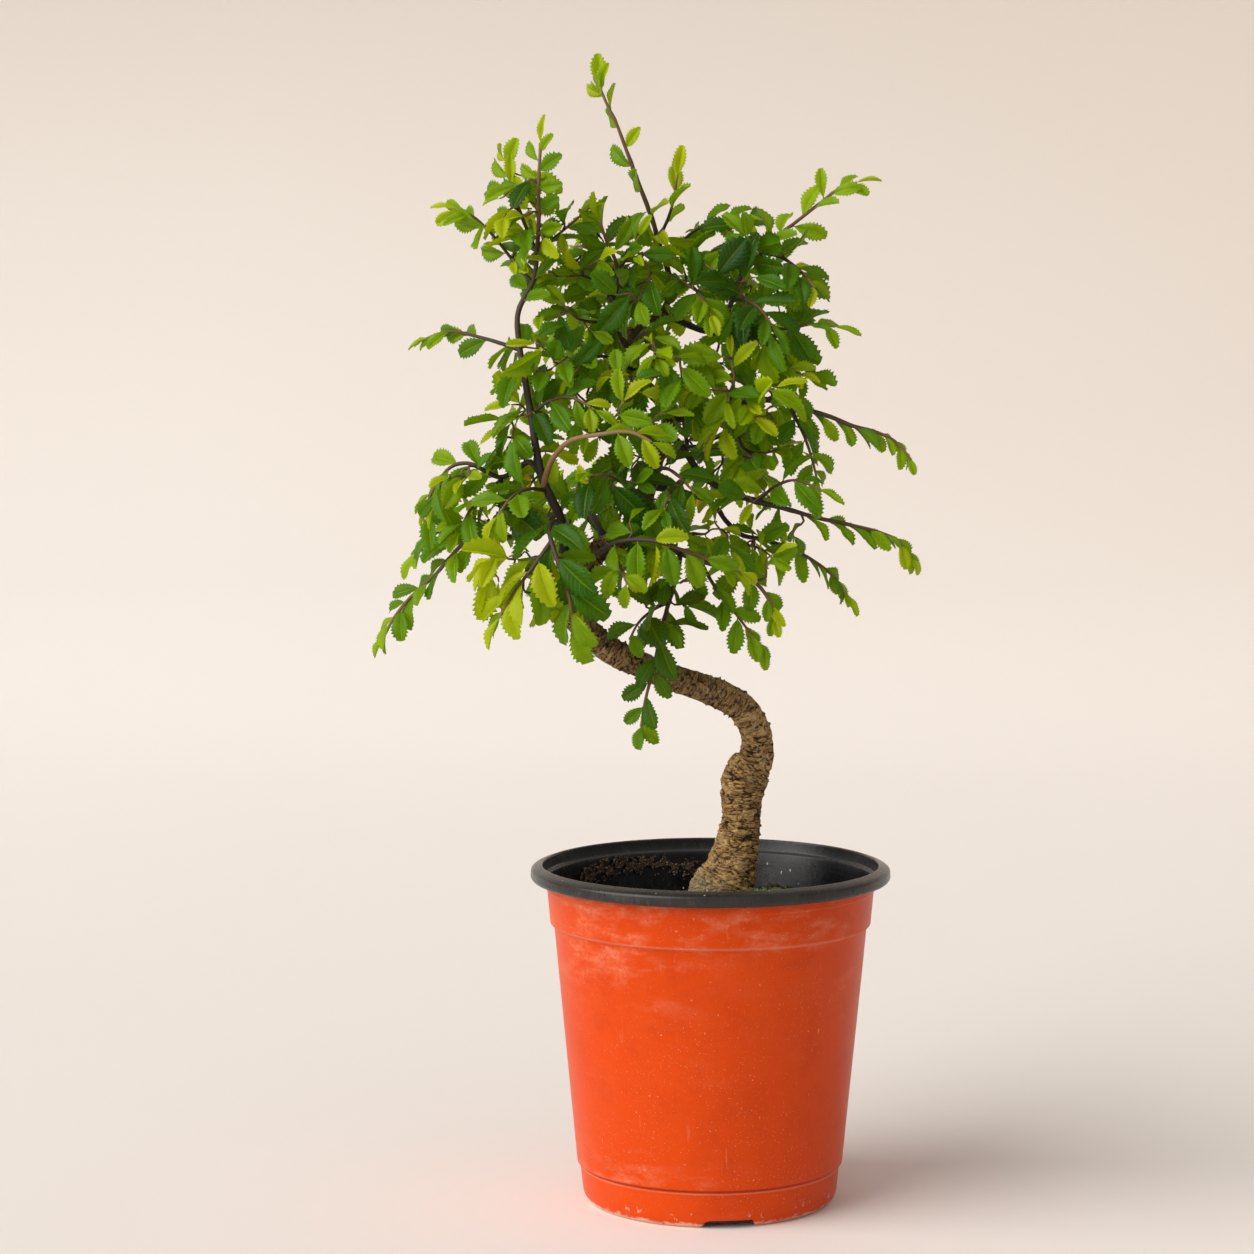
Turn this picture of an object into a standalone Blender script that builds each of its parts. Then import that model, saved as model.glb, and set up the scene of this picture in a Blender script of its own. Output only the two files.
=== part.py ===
"""A small-leaved elm bonsai growing in a two-layer plastic nursery pot.

Units are metres and +Z is up. The origin is on the pot's axis, on the surface that the pot stands on,
and -Y is the front. The plant is drawn as routes: the trunk first, then each branch and shoot as a tube
along its own route, with its leaves pulled out of the tube's sides so that each piece is one closed solid.
"""

import math
import random

import bmesh
import bpy
from mathutils import Vector
from mathutils.bvhtree import BVHTree

MM = 0.001
GAP = 0.3 * MM  # clearance between pieces that touch

# Pot
POT_HEIGHT = 151 * MM
RIM_RADIUS = 80 * MM  # outside of the rolled rim
RIM_DEPTH = 6.7 * MM  # height of the roll
RIM_OVERHANG = 6.6 * MM  # how far the roll stands out from the wall under it
# The roll from under its outer side to the mouth: mm in from its outside, share of its height below its top
RIM_SECTION = (
    (1.2, 1.0), (0, 0.78), (0.1, 0.42), (1.4, 0.17), (4.8, 0), (6.1, 0.28))
COLLAR_DEPTH = 20 * MM  # height of the wider band under the rim
COLLAR_FLARE = 2.2 * MM  # growth in radius over the height of the band
COLLAR_STEP = 1.5 * MM  # the band stands this much proud of the wall
COLLAR_STEP_HEIGHT = 1.4 * MM
BASE_RADIUS = 52.9 * MM  # radius of the ring that touches the ground
FOOT_ROUND = (3.5 * MM, 2.4 * MM)  # the foot's lower edge curves out and up this far
FOOT_SWELL = (4.4 * MM, 8.5 * MM)  # its side starts this far out and up
FOOT_HEIGHT = 16.4 * MM
FOOT_DRAFT = 0.7 * MM  # its side leans out this much up to its top
FOOT_STEP = 1.2 * MM
FOOT_STEP_HEIGHT = 1.2 * MM
CORNER_LIFT = 0.45  # an inner skin's corners rise by this share of its depth
LAYER_WALL = 0.9 * MM  # thickness of each of the two layers
DRAIN_COUNT = 3
DRAIN_WIDTH = 23.6 * MM
DRAIN_HEIGHT = 3.5 * MM
DRAIN_SLANT = 1.4 * MM  # each side of a slot leans in this much
DRAIN_REACH = 12 * MM  # the cutter runs this far out past the ground ring
CUT_MARGIN = 1 * MM
DRAIN_DEPTH = 9 * MM  # how far a drain slot runs in from the ground ring
DRAIN_TURN = math.radians(7.7)  # the first slot lies this far to the right of the front
POT_SEGMENTS = 36

# Soil
SOIL_BELOW_RIM = 24 * MM
SOIL_CROWN = 1.2 * MM  # the soil stands this much higher round the trunk
SOIL_EDGE_DROP = 0.5 * MM
SOIL_SHOULDER = (0.6, 0.3)  # where the soil has risen by the second share: the share of its radius

# Tree
TREE_HEIGHT = 376 * MM  # from the soil to the highest leaf
TRUNK_GIRTH = 1.0  # multiplies every drawn trunk radius
TWIG_GIRTH = 1.0  # multiplies every drawn branch radius
ROOT_DEPTH = 14 * MM  # how far the root crown goes into the soil
# The root crown's bottom ring and its ring at the soil: mm to the right of the trunk's foot, mm wider than it
ROOT_RINGS = ((-3.5, 0), (-2, 0.6))
TRUNK_SIDES = 12
BRANCH_SIDES = 6
SHOOT_SIDES = 4
BARE_SPACING = 9 * MM  # between the rings of a bare stretch
TWIG_TAPER = 0.8
CLEAR_STEP = 0.2 * MM  # a branch's foot is moved out in these steps until it is clear of its parent

# Leaves
LEAF_LENGTH = 15.5 * MM
LEAF_WIDTH = 8.6 * MM
LEAF_THICKNESS = 0.7 * MM
LEAF_SPACING = 9.5 * MM
LEAF_WIDEST = 0.46  # where along its length a leaf is widest
LEAF_BEND = 0.12  # a leaf's tip bends down by this share of its length
LEAF_SCATTER = (0.86, 1.1)  # the smallest and largest leaf beside the usual one
LEAF_SHRINKS = (1, 0.85, 0.7, 0.55, 0.4)  # sizes tried where it is crowded
TIP_SHRINKS = (1, 0.8, 0.6, 0.45, 0.3)
LEAF_STAND = math.radians(52)  # between a leaf and its twig
WHORL_STAND = math.radians(70)  # the same on a twig that points at the light
WHORL_TURN = math.radians(137.5)
LEAF_LEANS = (0, 12, -12, 25, -25, 40, -40)  # degrees tried off that stand
LEAF_TURNS = (0, 20, -20, 40, -40, 65, -65, 90, -90, 120, -120, 150, -150, 180)  # and round the twig
LEAF_DROOP = 0.12
FACING_ALONG = 0.8  # a twig that points this nearly at the light carries its leaves in a whorl
TIP_FACING_ALONG = 0.9
LEAF_BAND_HALF = 0.65 * MM  # half the length of the band that a leaf is pulled out of
TIP_ROOM = 4 * MM  # between the last leaf and the tip
PETIOLE = 1.3 * MM
PETIOLE_HALF = 0.32 * MM
LEAF_CLEARANCE = 0.5 * MM  # room kept round each leaf while it is placed

# The routes are drawn in millimetres, over soil at this height, for a tree of this height.
DRAWN_SOIL = 127
DRAWN_HEIGHT = 376
TREE_AXIS = (-20, 0)
LIGHT = Vector((-0.6, -0.8, 0.0))  # leaves turn a little towards the window side

# Trunk centre line and radius: (x, y, z, radius)
TRUNK_ROUTE = (
    (5.5, 0, 139, 13.0),
    (9, 0, 148, 11.6),
    (11.5, 0, 159.5, 9.6),
    (13.5, 0, 171, 8.5),
    (14, 0, 182, 9.2),
    (15.3, 0, 188.5, 10.1),
    (17, 0, 193, 9.5),
    (20, 0, 198.5, 7.7),
    (20.5, 0, 207, 6.8),
    (18.5, -1, 213, 6.5),
    (16, -2, 218, 6.4),
    (12, -3, 222.5, 6.4),
    (6, -5, 226, 6.4),
    (-3.5, -8, 230.5, 6.0),
    (-16, -12, 235, 5.7),
    (-29.5, -17, 241, 5.5),
    (-42.5, -22, 247.5, 5.6),
    (-53, -27, 256, 5.6),
    (-61, -30.5, 266, 5.5),
    (-63.5, -33, 274.5, 5.4),
    (-60.5, -33, 283, 5.3),
    (-50, -30, 292, 5.0),
    (-38, -25, 299, 4.8),
    (-31.5, -20, 306, 4.5),
    (-29, -13, 316, 4.1),
    (-25, -6, 330, 3.7),
    (-19, -1, 345, 3.4),
    (-21, 2, 355, 3.1),
    (-28, 4, 362, 2.9),
    (-34, 5, 368, 2.6),
    (-36, 6, 377, 2.4),
    (-36, 7, 388, 2.1),
)

# Where the surface roots leave the trunk's foot: (direction in degrees from +X, how far they swell)
ROOT_LOBES = ((195, 0.30), (255, 0.16), (330, 0.22), (40, 0.20), (115, 0.26))
ROOT_LOBE_WIDTH = math.radians(34)
ROOT_SWELL_TOP = 165  # drawn height at which the swelling has died out

# Branches: name, parent, foot radius, tip radius, bare length before the first leaf, points
BRANCHES = (
    ("left_branch", "trunk", 2.5, 0.7, 128,
     ((-62, -32, 277), (-64, -32, 290), (-65, -32, 304), (-69, -35, 314), (-73, -37, 323), (-76, -36, 336),
      (-78, -34, 349), (-81, -31, 366), (-84, -28, 385), (-84, -26, 395), (-81, -25, 402), (-77, -24, 410),
      (-76, -25, 421), (-75, -27, 434), (-75, -30, 449), (-74, -33, 467))),
    ("arching_branch", "left_branch", 1.5, 0.7, 46,
     ((-73, -37, 321), (-71, -42, 328), (-68, -48, 334), (-61, -57, 341), (-48, -64, 344), (-36, -67, 345),
      (-27, -69, 341))),
    ("left_middle_branch", "left_branch", 1.5, 0.6, 22,
     ((-73, -37, 324), (-79, -31, 331), (-85, -27, 327), (-92, -25, 324), (-99, -24, 327), (-106, -22, 330),
      (-114, -20, 328), (-121, -19, 319), (-125, -18, 310))),
    ("left_low_branch", "left_branch", 1.6, 0.6, 34,
     ((-67, -33, 309), (-78, -30, 302), (-88, -27, 298), (-98, -24, 299), (-107, -21, 296), (-114, -21, 289),
      (-121, -22, 281), (-132, -24, 271), (-139, -25, 262), (-143, -26, 254))),
    ("leader_branch", "trunk", 1.9, 0.6, 44,
     ((-36, 6, 383), (-30, 9, 390), (-23, 11, 394), (-19, 11, 400), (-18, 11, 408), (-20, 10, 417),
      (-23, 9, 425), (-26, 8, 436), (-31, 6, 449), (-37, 4, 465), (-42, 3, 478), (-47, 2, 490), (-54, 1, 502))),
    ("apex_branch", "trunk", 1.7, 0.6, 26,
     ((-35, 5, 376), (-41, -1, 387), (-44, -5, 398), (-41, -8, 407), (-42, -10, 417), (-46, -13, 426),
      (-49, -16, 435))),
    ("upper_right_branch", "leader_branch", 1.6, 0.6, 40,
     ((-22, 11, 395), (-11, 5, 390), (-2, -2, 387), (5, -5, 391), (9, -6, 401), (13, -6, 411),
      (20, -6, 419), (27, -6, 427), (36, -7, 434), (45, -8, 441), (54, -9, 448), (62, -10, 451))),
    ("right_branch", "trunk", 2.1, 0.6, 58,
     ((-19, -1, 348), (-7, -3, 350), (7, -6, 353), (19, -9, 357), (32, -11, 356), (41, -12, 353),
      (51, -12, 350), (61, -12, 346), (72, -12, 343), (80, -12, 339), (87, -12, 331))),
    ("right_low_branch", "trunk", 1.8, 0.6, 74,
     ((-22, -3, 339), (-15, -8, 339), (-10, -11, 332), (-4, -14, 324), (7, -16, 317), (20, -17, 313),
      (32, -18, 310), (46, -18, 306), (60, -18, 303), (72, -18, 300), (81, -18, 296), (87, -18, 288))),
    ("lower_right_branch", "trunk", 1.7, 0.6, 58,
     ((-28, -11, 319), (-18, -4, 318), (-8, 1, 315), (1, 3, 311), (7, 4, 303), (14, 5, 297),
      (24, 5, 295), (35, 5, 291), (45, 5, 286), (54, 5, 279), (60, 5, 271))),
    ("low_branch", "trunk", 1.8, 0.7, 50,
     ((-36, -24, 301), (-27, -22, 297), (-19, -21, 293), (-7, -21, 288), (4, -21, 285), (13, -22, 282),
      (20, -25, 277), (25, -28, 270), (27, -30, 263))),
    ("hanging_branch", "low_branch", 1.3, 0.6, 26,
     ((-14, -21, 291), (-15, -26, 284), (-18, -28, 273), (-22, -29, 259), (-25, -30, 244), (-29, -30, 228),
      (-31, -30, 216))),
    ("front_down_branch", "left_branch", 1.6, 0.6, 20,
     ((-65, -32, 303), (-68, -46, 306), (-70, -60, 304), (-68, -69, 296), (-64, -73, 285), (-61, -75, 274),
      (-60, -76, 262))),
    ("front_spray_branch", "trunk", 1.6, 0.6, 22,
     ((-55, -31, 288), (-49, -44, 293), (-40, -54, 298), (-27, -60, 299), (-14, -61, 295), (-1, -58, 290),
      (11, -54, 285))),
    ("back_low_branch", "trunk", 2.0, 0.7, 26,
     ((-46, -28, 295), (-50, -12, 303), (-54, 8, 308), (-57, 28, 309), (-62, 46, 304), (-68, 60, 294))),
    ("back_middle_branch", "trunk", 2.2, 0.7, 24,
     ((-26, -7, 328), (-20, 8, 333), (-8, 24, 335), (4, 40, 333), (15, 54, 326), (26, 64, 314))),
    ("back_high_branch", "trunk", 1.9, 0.7, 22,
     ((-22, 3, 356), (-28, 16, 364), (-38, 30, 372), (-50, 42, 379), (-60, 52, 382), (-71, 60, 380))),
)

# Side shoots: name, parent, foot radius, tip radius, bare length before the first leaf, points
SHOOTS = (
    ("leader_side_shoot", "leader_branch", 0.9, 0.5, 8,
     ((-24, 9, 427), (-20, 7, 434), (-17, 5, 443), (-15, 3, 455))),
    ("leader_right_shoot", "leader_branch", 1.0, 0.5, 12,
     ((-20, 10, 416), (-11, 8, 428), (-1, 4, 434), (11, 0, 436))),
    ("upper_left_lean_shoot", "left_branch", 0.9, 0.5, 10,
     ((-76, -25, 421), (-82, -21, 435), (-87, -19, 450), (-90, -18, 463))),
    ("upper_left_low_shoot", "left_branch", 0.9, 0.5, 10,
     ((-78, -24, 408), (-86, -21, 417), (-94, -19, 427), (-103, -17, 436), (-112, -15, 440))),
    ("upper_left_inner_shoot", "left_branch", 0.8, 0.5, 8,
     ((-76, -25, 420), (-70, -18, 426), (-63, -13, 432), (-56, -10, 438))),
    ("apex_left_shoot", "apex_branch", 0.9, 0.5, 8,
     ((-43, -7, 402), (-50, -13, 408), (-58, -18, 411), (-67, -22, 410))),
    ("apex_right_shoot", "apex_branch", 0.8, 0.5, 6,
     ((-42, -9, 412), (-36, -15, 420), (-32, -18, 428))),
    ("upper_right_leaf_shoot", "upper_right_branch", 0.8, 0.5, 6,
     ((15, -6, 414), (16, -14, 421), (15, -20, 428))),
    ("upper_right_droop_shoot", "upper_right_branch", 0.9, 0.5, 8,
     ((21, -6, 421), (30, -11, 419), (38, -16, 413), (44, -20, 406))),
    ("right_high_shoot", "upper_right_branch", 1.1, 0.5, 14,
     ((5, -5, 391), (16, -9, 389), (31, -13, 388), (43, -15, 390), (53, -16, 389))),
    ("upper_right_dark_shoot", "upper_right_branch", 0.9, 0.5, 8,
     ((9, -6, 401), (15, -17, 400), (20, -26, 397), (25, -31, 390))),
    ("right_up_shoot", "right_branch", 0.9, 0.5, 8,
     ((14, -8, 355), (20, -14, 365), (28, -18, 371), (38, -21, 369))),
    ("right_down_shoot", "right_branch", 0.9, 0.5, 8,
     ((33, -11, 356), (39, -15, 344), (43, -17, 333), (46, -19, 321))),
    ("right_front_shoot", "right_branch", 0.9, 0.5, 10,
     ((5, -6, 352), (10, -19, 360), (15, -31, 357))),
    ("right_under_shoot", "right_branch", 1.0, 0.5, 14,
     ((12, -7, 354), (11, -6, 344), (15, -5, 335), (24, -7, 334), (34, -9, 337))),
    ("right_low_side_shoot", "right_low_branch", 0.9, 0.5, 10,
     ((20, -17, 313), (27, -24, 320), (36, -29, 323), (46, -32, 319))),
    ("low_hanging_shoot", "low_branch", 0.9, 0.5, 12,
     ((-5, -21, 287), (2, -24, 275), (10, -26, 265), (16, -27, 257), (22, -28, 249))),
    ("centre_whorl_shoot", "trunk", 1.0, 0.5, 14,
     ((-36, 6, 380), (-30, -10, 386), (-26, -26, 383), (-25, -37, 375))),
    ("centre_left_shoot", "trunk", 1.0, 0.5, 12,
     ((-35, 5, 371), (-46, -10, 376), (-55, -24, 374), (-61, -34, 367))),
    ("centre_low_shoot", "trunk", 1.1, 0.5, 14,
     ((-27, -9, 324), (-21, -25, 328), (-15, -36, 325), (-8, -43, 318))),
    ("centre_middle_shoot", "trunk", 1.1, 0.5, 14,
     ((-30, -17, 310), (-36, -30, 319), (-44, -40, 325), (-53, -47, 326))),
    ("upper_centre_shoot", "leader_branch", 1.0, 0.5, 12,
     ((-18, 11, 406), (-10, -4, 407), (-5, -18, 402), (-1, -28, 394))),
    ("upper_middle_left_shoot", "apex_branch", 1.0, 0.5, 10,
     ((-42, -3, 393), (-51, -14, 391), (-59, -24, 393), (-66, -31, 400))),
    ("left_high_shoot", "left_branch", 1.1, 0.5, 16,
     ((-83, -29, 379), (-92, -25, 382), (-103, -20, 385), (-114, -16, 387), (-124, -14, 384))),
    ("left_middle_up_shoot", "left_branch", 0.9, 0.5, 6,
     ((-78, -34, 351), (-71, -40, 357), (-61, -45, 359), (-51, -49, 354))),
    ("left_cluster_shoot", "left_middle_branch", 0.9, 0.5, 6,
     ((-91, -25, 324), (-97, -32, 317), (-104, -37, 311), (-109, -40, 302))),
    ("left_low_side_shoot", "left_low_branch", 0.9, 0.5, 6,
     ((-106, -21, 296), (-115, -15, 300), (-123, -11, 298), (-129, -9, 290))),
    ("front_left_shoot", "left_branch", 1.0, 0.5, 12,
     ((-72, -37, 319), (-79, -47, 320), (-86, -54, 317), (-92, -58, 309))),
    ("front_down_left_shoot", "front_down_branch", 1.0, 0.5, 10,
     ((-69, -66, 299), (-77, -71, 288), (-85, -72, 277), (-91, -72, 267))),
    ("front_low_shoot", "front_spray_branch", 0.9, 0.5, 6,
     ((-44, -50, 296), (-41, -60, 290), (-37, -67, 281))),
    ("hanging_left_shoot", "hanging_branch", 0.8, 0.5, 6,
     ((-19, -28, 270), (-26, -33, 267), (-32, -37, 262), (-36, -40, 255))),
    ("back_low_side_shoot", "back_low_branch", 1.0, 0.5, 8,
     ((-55, 12, 308), (-70, 20, 313), (-85, 26, 309), (-97, 32, 300))),
    ("back_low_inner_shoot", "back_low_branch", 1.0, 0.5, 8,
     ((-57, 28, 309), (-44, 40, 310), (-32, 50, 304), (-22, 58, 294))),
    ("back_middle_side_shoot", "back_middle_branch", 1.0, 0.5, 8,
     ((-6, 26, 335), (10, 26, 342), (26, 27, 342), (40, 28, 334))),
    ("back_middle_up_shoot", "back_middle_branch", 1.0, 0.5, 8,
     ((-10, 22, 335), (-12, 34, 348), (-14, 46, 358), (-15, 58, 363))),
    ("back_high_side_shoot", "back_high_branch", 1.0, 0.5, 8,
     ((-32, 22, 368), (-34, 36, 380), (-34, 50, 388), (-32, 62, 391))),
    ("back_top_shoot", "leader_branch", 1.1, 0.5, 10,
     ((-19, 11, 401), (-8, 22, 408), (4, 32, 411), (17, 41, 407))),
    ("back_left_shoot", "left_branch", 1.0, 0.5, 8,
     ((-82, -30, 372), (-84, -16, 379), (-86, 0, 382), (-90, 16, 378))),
    ("back_crown_shoot", "apex_branch", 1.0, 0.5, 8,
     ((-42, -9, 412), (-50, 2, 420), (-56, 14, 424), (-62, 26, 424))),
)


def clear_scene():
    for obj in list(bpy.data.objects):
        bpy.data.objects.remove(obj, do_unlink=True)


def material(name, colour, roughness):
    made = bpy.data.materials.new(name)
    made.use_nodes = True
    shader = made.node_tree.nodes["Principled BSDF"]
    shader.inputs["Base Color"].default_value = (*colour, 1)
    shader.inputs["Roughness"].default_value = roughness
    shader.inputs["Metallic"].default_value = 0
    return made


def add_object(name, points, faces, made_of, smooth_angle=None):
    mesh = bpy.data.meshes.new(name)
    mesh.from_pydata([tuple(p) for p in points], [], faces)
    mesh.materials.append(made_of)
    if smooth_angle is not None:
        mesh.shade_smooth()
        mesh.set_sharp_from_angle(angle=smooth_angle)
    obj = bpy.data.objects.new(name, mesh)
    bpy.context.scene.collection.objects.link(obj)
    return obj


# ---------------------------------------------------------------- pot and soil


def wall_line(depth):
    """The pot wall's section, from the ground ring up to the top edge, moved in from the outside by depth."""
    wall_top = RIM_RADIUS - RIM_OVERHANG
    collar_bottom = POT_HEIGHT - RIM_DEPTH - COLLAR_DEPTH
    shoulder = wall_top - COLLAR_FLARE - COLLAR_STEP
    foot = BASE_RADIUS + FOOT_SWELL[0]
    return [
        (BASE_RADIUS, depth),
        (BASE_RADIUS + FOOT_ROUND[0] - depth, FOOT_ROUND[1] + CORNER_LIFT * depth),
        (foot - depth, FOOT_SWELL[1]),
        (foot + FOOT_DRAFT - depth, FOOT_HEIGHT),
        (foot + FOOT_DRAFT + FOOT_STEP - depth, FOOT_HEIGHT + FOOT_STEP_HEIGHT),
        (shoulder - depth, collar_bottom),
        (shoulder + COLLAR_STEP - depth, collar_bottom + COLLAR_STEP_HEIGHT),
        (wall_top - depth, POT_HEIGHT - RIM_DEPTH - GAP),
    ]


def rim_roll(wall_out, wall_in):
    """The rolled rim's section, from under its outer side over the top and into the mouth."""
    under = POT_HEIGHT - RIM_DEPTH
    roll = [(RIM_RADIUS - inward * MM, POT_HEIGHT - down * RIM_DEPTH) for inward, down in RIM_SECTION]
    return [(wall_out, under), *roll, (wall_in, under - GAP)]


def turned(name, section, made_of):
    """A solid turned round the axis. Its section starts and ends on the axis and runs anticlockwise."""
    bm = bmesh.new()
    bottom = bm.verts.new((0, 0, section[0][1]))
    rings = []
    for radius, height in section[1:-1]:
        rings.append([
            bm.verts.new((radius * math.cos(2 * math.pi * i / POT_SEGMENTS),
                          radius * math.sin(2 * math.pi * i / POT_SEGMENTS), height))
            for i in range(POT_SEGMENTS)
        ])
    top = bm.verts.new((0, 0, section[-1][1]))
    for i in range(POT_SEGMENTS):
        j = (i + 1) % POT_SEGMENTS
        bm.faces.new((bottom, rings[0][j], rings[0][i]))
        bm.faces.new((top, rings[-1][i], rings[-1][j]))
        for low, high in zip(rings, rings[1:]):
            bm.faces.new((low[i], low[j], high[j], high[i]))
    mesh = bpy.data.meshes.new(name)
    bm.to_mesh(mesh)
    bm.free()
    mesh.materials.append(made_of)
    mesh.shade_smooth()
    mesh.set_sharp_from_angle(angle=math.radians(35))
    obj = bpy.data.objects.new(name, mesh)
    bpy.context.scene.collection.objects.link(obj)
    return obj


def drain_cutter(number):
    """One drain slot: a low trapezium that runs through the ground ring."""
    inner = BASE_RADIUS - DRAIN_DEPTH
    outer = BASE_RADIUS + DRAIN_REACH
    half_low = DRAIN_WIDTH / 2
    half_high = half_low - DRAIN_SLANT
    section = ((-half_low, -CUT_MARGIN), (half_low, -CUT_MARGIN),
               (half_high, DRAIN_HEIGHT), (-half_high, DRAIN_HEIGHT))
    points = [(inner, across, height) for across, height in section]
    points += [(outer, across, height) for across, height in section]
    faces = [(3, 2, 1, 0), (4, 5, 6, 7)]
    faces += [(i, (i + 1) % 4, (i + 1) % 4 + 4, i + 4) for i in range(4)]
    cutter = add_object(f"drain_cutter_{number}", points, faces, bpy.data.materials["pot_black"])
    cutter.rotation_euler.z = math.radians(-90) + DRAIN_TURN + number * 2 * math.pi / DRAIN_COUNT
    cutter.hide_render = True
    cutter.display_type = "WIRE"
    return cutter


def cut(obj, cutter):
    modifier = obj.modifiers.new(f"cut_{cutter.name}", "BOOLEAN")
    modifier.operation = "DIFFERENCE"
    modifier.object = cutter


def build_pot():
    terracotta = material("pot_terracotta", (0.78, 0.11, 0.03), 0.42)
    black = material("pot_black", (0.02, 0.021, 0.023), 0.45)
    outer = turned("pot_outer_layer",
                   [(0, 0)] + wall_line(0) + wall_line(LAYER_WALL)[::-1] + [(0, LAYER_WALL)], terracotta)
    skin = LAYER_WALL + GAP
    liner_out = wall_line(skin)
    liner_in = wall_line(skin + LAYER_WALL)
    rim = rim_roll(liner_out[-1][0], liner_in[-1][0])
    inner = turned("pot_inner_layer",
                   [(0, skin)] + liner_out[:-1] + rim + liner_in[::-1][1:] + [(0, skin + LAYER_WALL)], black)
    for number in range(DRAIN_COUNT):
        cutter = drain_cutter(number)
        cut(outer, cutter)
        cut(inner, cutter)


def soil_height():
    return POT_HEIGHT - SOIL_BELOW_RIM


def build_soil(socket):
    """The root ball, held in the pot with clearance, with a socket for the root crown."""
    line = wall_line(2 * LAYER_WALL + 2 * GAP)
    top = soil_height()
    side = [point for point in line if point[1] < top]
    last = side[-1][0] + (line[-1][0] - side[-1][0]) * (top - side[-1][1]) / (line[-1][1] - side[-1][1])
    section = [(0, line[0][1]), *side, (last, top - SOIL_EDGE_DROP),
               (last * SOIL_SHOULDER[0], top + SOIL_CROWN * SOIL_SHOULDER[1]), (0, top + SOIL_CROWN)]
    soil = turned("soil", section, material("potting_soil", (0.09, 0.055, 0.035), 0.95))
    cut(soil, socket)
    return soil


# ---------------------------------------------------------------- routes


def tree_size():
    """The tree's height beside the drawn one."""
    return TREE_HEIGHT / DRAWN_HEIGHT


def grown(x, y, z):
    """A drawn point in millimetres as a place in the model, standing on the soil at the tree's own size."""
    size = tree_size()
    return Vector((x * size, y * size, soil_height() + (z - DRAWN_SOIL) * size))


def smooth_through(points, step=1 * MM):
    """A Catmull-Rom curve through the points, sampled about every step."""
    ends = [2 * points[0] - points[1], *points, 2 * points[-1] - points[-2]]
    samples = [points[0]]
    for a, b, c, d in zip(ends, ends[1:], ends[2:], ends[3:]):
        count = max(2, round((c - b).length / step))
        for i in range(1, count + 1):
            t = i / count
            samples.append(0.5 * (2 * b + (c - a) * t + (2 * a - 5 * b + 4 * c - d) * t * t
                                  + (3 * b - a - 3 * c + d) * t ** 3))
    return samples


class Route:
    """A smooth route that is measured along its length."""

    def __init__(self, points):
        self.samples = smooth_through(points)
        self.marks = [0.0]
        for a, b in zip(self.samples, self.samples[1:]):
            self.marks.append(self.marks[-1] + (b - a).length)
        self.length = self.marks[-1]

    def at(self, distance):
        distance = min(max(distance, 0), self.length)
        for i in range(1, len(self.marks)):
            if self.marks[i] >= distance:
                share = (distance - self.marks[i - 1]) / (self.marks[i] - self.marks[i - 1])
                return self.samples[i - 1].lerp(self.samples[i], share)
        return self.samples[-1]

    def direction(self, distance):
        reach = 1 * MM
        return (self.at(distance + reach) - self.at(distance - reach)).normalized()


def frames_along(directions):
    """Side and up vectors at each station that turn as little as they can from one to the next."""
    first = directions[0]
    side = first.orthogonal().normalized()
    frames = []
    for direction in directions:
        side = (side - direction * side.dot(direction)).normalized()
        frames.append((side, direction.cross(side)))
    return frames


# ---------------------------------------------------------------- grown pieces


class Growth:
    """A tube along a route as points and faces. A leaf can be pulled out of any of its short bands."""

    def __init__(self, name, route, start, radius_at, sides, leaf_marks):
        self.name = name
        self.sides = sides
        self.leaf_marks = leaf_marks
        self.stations = self.place_stations(start, route.length)
        directions = [route.direction(s) for s in self.stations]
        frames = frames_along(directions)
        self.axis = [(route.at(s), radius_at(s)) for s in self.stations]
        self.directions = directions
        self.points = []
        self.rings = []
        for (centre, radius), (side, up) in zip(self.axis, frames):
            self.rings.append([self.add(centre + (side * math.cos(turn) + up * math.sin(turn)) * radius)
                               for turn in (2 * math.pi * i / sides for i in range(sides))])
        self.leaves = {}

    def place_stations(self, start, end):
        stations = [start]
        for mark in self.leaf_marks:
            gap = mark - LEAF_BAND_HALF - stations[-1]
            fill = int(gap // BARE_SPACING)
            stations += [stations[-1] + gap * (i + 1) / (fill + 1) for i in range(fill)]
            stations += [mark - LEAF_BAND_HALF, mark + LEAF_BAND_HALF]
        gap = end - stations[-1]
        fill = int(gap // BARE_SPACING)
        stations += [stations[-1] + gap * (i + 1) / (fill + 1) for i in range(fill + 1)]
        return stations

    def add(self, point):
        self.points.append(point)
        return len(self.points) - 1

    def band_of(self, mark):
        return max(i for i, s in enumerate(self.stations) if s < mark)

    def quad(self, band, side):
        low = self.rings[band]
        high = self.rings[band + 1]
        after = (side + 1) % self.sides
        return (low[side], low[after], high[after], high[side])

    def faces(self):
        made = [tuple(reversed(self.rings[0]))]
        for band in range(len(self.rings) - 1):
            for side in range(self.sides):
                leaf = self.leaves.get((band, side))
                if leaf is None:
                    made.append(self.quad(band, side))
                else:
                    made += leaf
        made += self.leaves.get("tip", [tuple(self.rings[-1])])
        return made

    def side_facing(self, band, direction):
        def facing(side):
            corners = [self.points[i] for i in self.quad(band, side)]
            middle = sum(corners, Vector()) / 4
            return (middle - (self.axis[band][0] + self.axis[band + 1][0]) / 2).normalized().dot(direction)
        return max(range(self.sides), key=facing)

    def pull_leaf(self, key, corners, leaf):
        """Joins the four corners to the leaf's rings and its tip."""
        low = list(corners)
        made = []
        for ring in leaf.rings:
            places = [self.points[i] for i in low]
            shift = min(range(4),
                        key=lambda s: sum((places[i] - ring[(i + s) % 4]).length for i in range(4)))
            high = [self.add(ring[(i + shift) % 4]) for i in range(4)]
            made += [(low[i], low[(i + 1) % 4], high[(i + 1) % 4], high[i]) for i in range(4)]
            low = high
        tip = self.add(leaf.tip)
        made += [(low[i], low[(i + 1) % 4], tip) for i in range(4)]
        self.leaves[key] = made


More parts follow.
